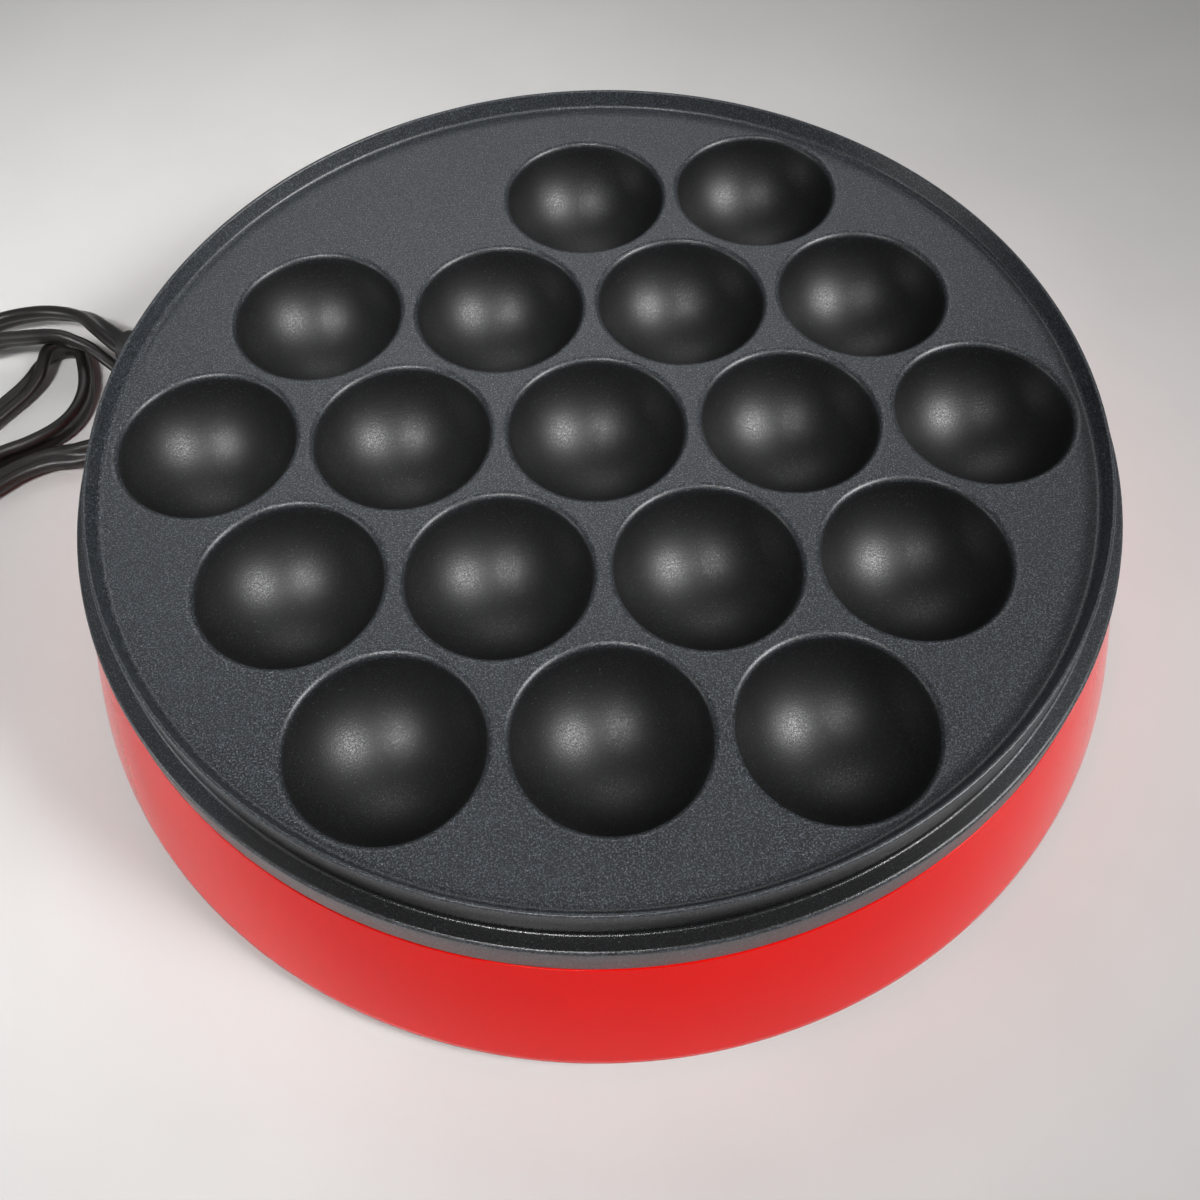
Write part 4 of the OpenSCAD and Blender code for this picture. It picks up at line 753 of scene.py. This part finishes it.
def addPad(surface, v, angle, z, inner, outer):
    # a disc with a rounded front edge, or a ring where it has a hole, from radius inner to outer.
    # It is drawn facing z and turned outwards: x goes along the wall and y up
    middle = v.get("hole", poleRadius)
    front = arcPoints((v["radius"] - v["edge"], outer - v["edge"]), v["edge"], 0, 90, steps=6)
    profile = np.vstack([[[middle, inner], [v["radius"], inner]], front, [[middle, outer]]])
    out = polar(1.0, angle)
    axes = np.stack([np.cross([0, 0, 1], out), [0, 0, 1], out])
    grid = turned(profile, fullTurn(v["segments"])) @ axes + [0, 0, z]
    surface.addGrid(grid, closeRows="hole" in v, ends="hole" not in v)


def makeBody(b):
    foot, top, shelfUnder = b["foot"], b["top"], b["shelfZ"] - b["shelf"]
    rimIn = b["rimRadius"] - b["rimWall"]
    topZ, footZ, rimZ = top - b["topEdge"], foot + b["footEdge"], b["rimTop"] - b["rimEdge"]
    wallZ = np.linspace(topZ, footZ, b["wallSteps"])
    innerZ = np.linspace(foot, shelfUnder, b["wallSteps"])
    profile = np.vstack([
        arcPoints((rimIn + b["rimEdge"], rimZ), b["rimEdge"], 180, 90, steps=4),
        arcPoints((b["rimRadius"] - b["rimEdge"], rimZ), b["rimEdge"], 90, 0, steps=4),
        [[b["rimRadius"], top]],
        arcPoints((bodyRadius(b, topZ) - b["topEdge"], topZ), b["topEdge"], 90, b["edgeEnd"],
                  steps=8),
        np.stack([bodyRadius(b, wallZ), wallZ], 1)[1:-1],
        arcPoints((bodyRadius(b, footZ) - b["footEdge"], footZ), b["footEdge"], -b["edgeEnd"],
                  -90, steps=8),
        np.stack([bodyRadius(b, innerZ) - b["wall"], innerZ], 1),
        [[b["shelfRadius"], shelfUnder], [b["shelfRadius"], b["shelfZ"]], [rimIn, b["shelfZ"]]]])
    surface = Surface()
    surface.addGrid(turned(profile[::-1], fullTurn(b["segments"])), closeRows=True)
    wall = bodyRadius(b, cordSet["exitZ"])
    addPad(surface, padSet, cordSet["exitAngle"], cordSet["exitZ"], wall - padSet["depth"],
           cordSet["padFace"])
    wall = bodyRadius(b, lampSet["z"])
    addPad(surface, lampSet, lampSet["angle"], lampSet["z"], wall - lampSet["depth"],
           wall + lampSet["rise"])
    housing = surface.piece("housingShell", finish["body_red"], sharp=32)
    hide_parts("housing")


makeBody(bodySet)
print("body done")

plugSet = {
    "place": (-187.0, -156.0, 7.0), "steps": 56,
    # along the plug: distance from the cord, half width, half height, and squareness
    "rings": [(0, 4.6, 4.6, 2.0), (0.5, 4.9, 4.9, 2.0), (3.2, 5.2, 5.0, 2.0), (3.4, 4.7, 4.5, 2.0),
              (4.4, 4.7, 4.5, 2.0), (4.6, 5.4, 5.2, 2.0), (7.0, 5.8, 5.5, 2.0),
              (9.2, 6.4, 5.9, 2.2), (10.6, 8.2, 6.5, 2.6), (12.0, 10.2, 6.9, 3.0),
              (13.6, 11.4, 7.0, 3.4), (16.0, 11.9, 7.0, 3.8), (20.0, 12.0, 7.0, 4.0),
              (28.4, 12.0, 7.0, 4.0), (29.4, 11.8, 6.8, 4.0), (30.0, 11.2, 6.2, 4.0)],
}


def makePlug(p):
    # rings of superellipses: |x / width|^n + |z / height|^n = 1, from round to nearly square
    t = np.radians(fullTurn(p["steps"]))
    rings = np.array(p["rings"])
    n = rings[:, 3:]
    x = rings[:, 1:2] * np.sign(np.cos(t)) * np.abs(np.cos(t)) ** (2 / n)
    z = rings[:, 2:3] * np.sign(np.sin(t)) * np.abs(np.sin(t)) ** (2 / n)
    y = -rings[:, :1] + 0 * t
    surface = Surface()
    surface.addGrid(np.stack([x, y, z], -1) + np.array(p["place"]), ends=True)
    plug = surface.piece("plugBody", finish["plug_plastic"], sharp=50)
    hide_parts("plug_body")
    return plug


def smoothCopy(name, body):
    # the solid's loose triangles joined into one skin, smooth but for its real edges
    mesh = nodes[name].data.copy()
    weldPoints(mesh)
    words = name.split("_")
    pieceName = words[0] + "".join(word.capitalize() for word in words[1:])
    piece = placePiece(pieceName, mesh, body, sharp=32)
    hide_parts(name)
    return piece


plugBody = makePlug(plugSet)
drawnAnew = ("cooking_plate", "housing", "cord_lead", "cord_loop_small", "cord_loop_large",
             "cord_hank", "cord_tail", "plug_body")
bodyOf = {node: body for body, members in frame["record"]["behaviour"]["bodies"].items()
          for node in members}
copies = {row["node"]: smoothCopy(row["node"], bodyOf[row["node"]])
          for row in frame["record"]["subparts"] if row["node"] not in drawnAnew}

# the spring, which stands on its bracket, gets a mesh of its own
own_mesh(copies["sensor_spring"])

print("plug and small pieces done")

# half the floor's width and its gap under the feet in metres, and its clouds in millimetres
floorSet = {"half": 1.6, "gap": 0.0002, "cloud": 60, "dark": "#d0cfcd", "light": "#d6d5d3"}


def makeFloor(v):
    # a matt pale table top
    material, shader = newMaterial("PaleFloor", Roughness=0.75)
    where = objectPoints(material)
    noise = addNode(material, "TexNoise", Vector=where, Scale=1 / (v["cloud"] * mm), Detail=3.0)
    tone = ramp(material, noise, [(0.3, toLinear(v["dark"])), (0.7, toLinear(v["light"]))])
    link(material, tone, shader, "Base Color")
    size, z = v["half"], cadBox[0][2] - v["gap"]
    mesh = bpy.data.meshes.new("floor")
    mesh.from_pydata([(-size, -size, z), (size, -size, z), (size, size, z), (-size, size, z)], [],
                     [(0, 1, 2, 3)])
    mesh.materials.append(material)
    floor = bpy.data.objects.new("floor", mesh)
    bpy.context.scene.collection.objects.link(floor)


# soft lamps, in metres, watts and degrees: the key from the right, a fill from the front left,
# a wide one behind and a low one at the left
lightSet = {
    "key": {"place": (0.80, -0.34, 0.78), "size": 0.36, "power": 0.72, "aim": (0, 0, 0.04),
            "spread": 40},
    "fill": {"place": (-0.30, -0.62, 0.98), "size": 0.46, "power": 0.36, "aim": (-0.17, -0.04, 0.04),
             "spread": 18},
    "back": {"place": (-0.05, 1.00, 1.14), "size": 2.4, "height": 0.6, "power": 0.72,
             "aim": (0, 0, 0.04), "spread": 60},
    "side": {"place": (-0.85, -0.22, 0.17), "size": 0.3, "power": 0.18, "aim": (-0.1, 0, 0.02),
             "spread": 60},
}
skySet = {"colour": "#f2f4f6", "strength": 0.16}


def makeLights(lights, sky):
    for name, v in lights.items():
        data = bpy.data.lights.new(name, "AREA")
        data.shape, data.energy = "ELLIPSE", v["power"]
        data.size, data.size_y = v["size"], v.get("height", v["size"])
        data.spread = np.radians(v["spread"])
        light = bpy.data.objects.new(name, data)
        light.location = v["place"]
        aim = Vector(v["aim"]) - Vector(v["place"])
        light.rotation_euler = aim.to_track_quat("-Z", "Y").to_euler()
        bpy.context.scene.collection.objects.link(light)
    world = bpy.data.worlds.new("world")
    world.use_nodes = True
    background = world.node_tree.nodes["Background"]
    background.inputs["Color"].default_value = toLinear(sky["colour"])
    background.inputs["Strength"].default_value = sky["strength"]
    bpy.context.scene.world = world


makeFloor(floorSet)
makeLights(lightSet, skySet)
bpy.context.scene.view_settings.view_transform = "Standard"
print("stage done")
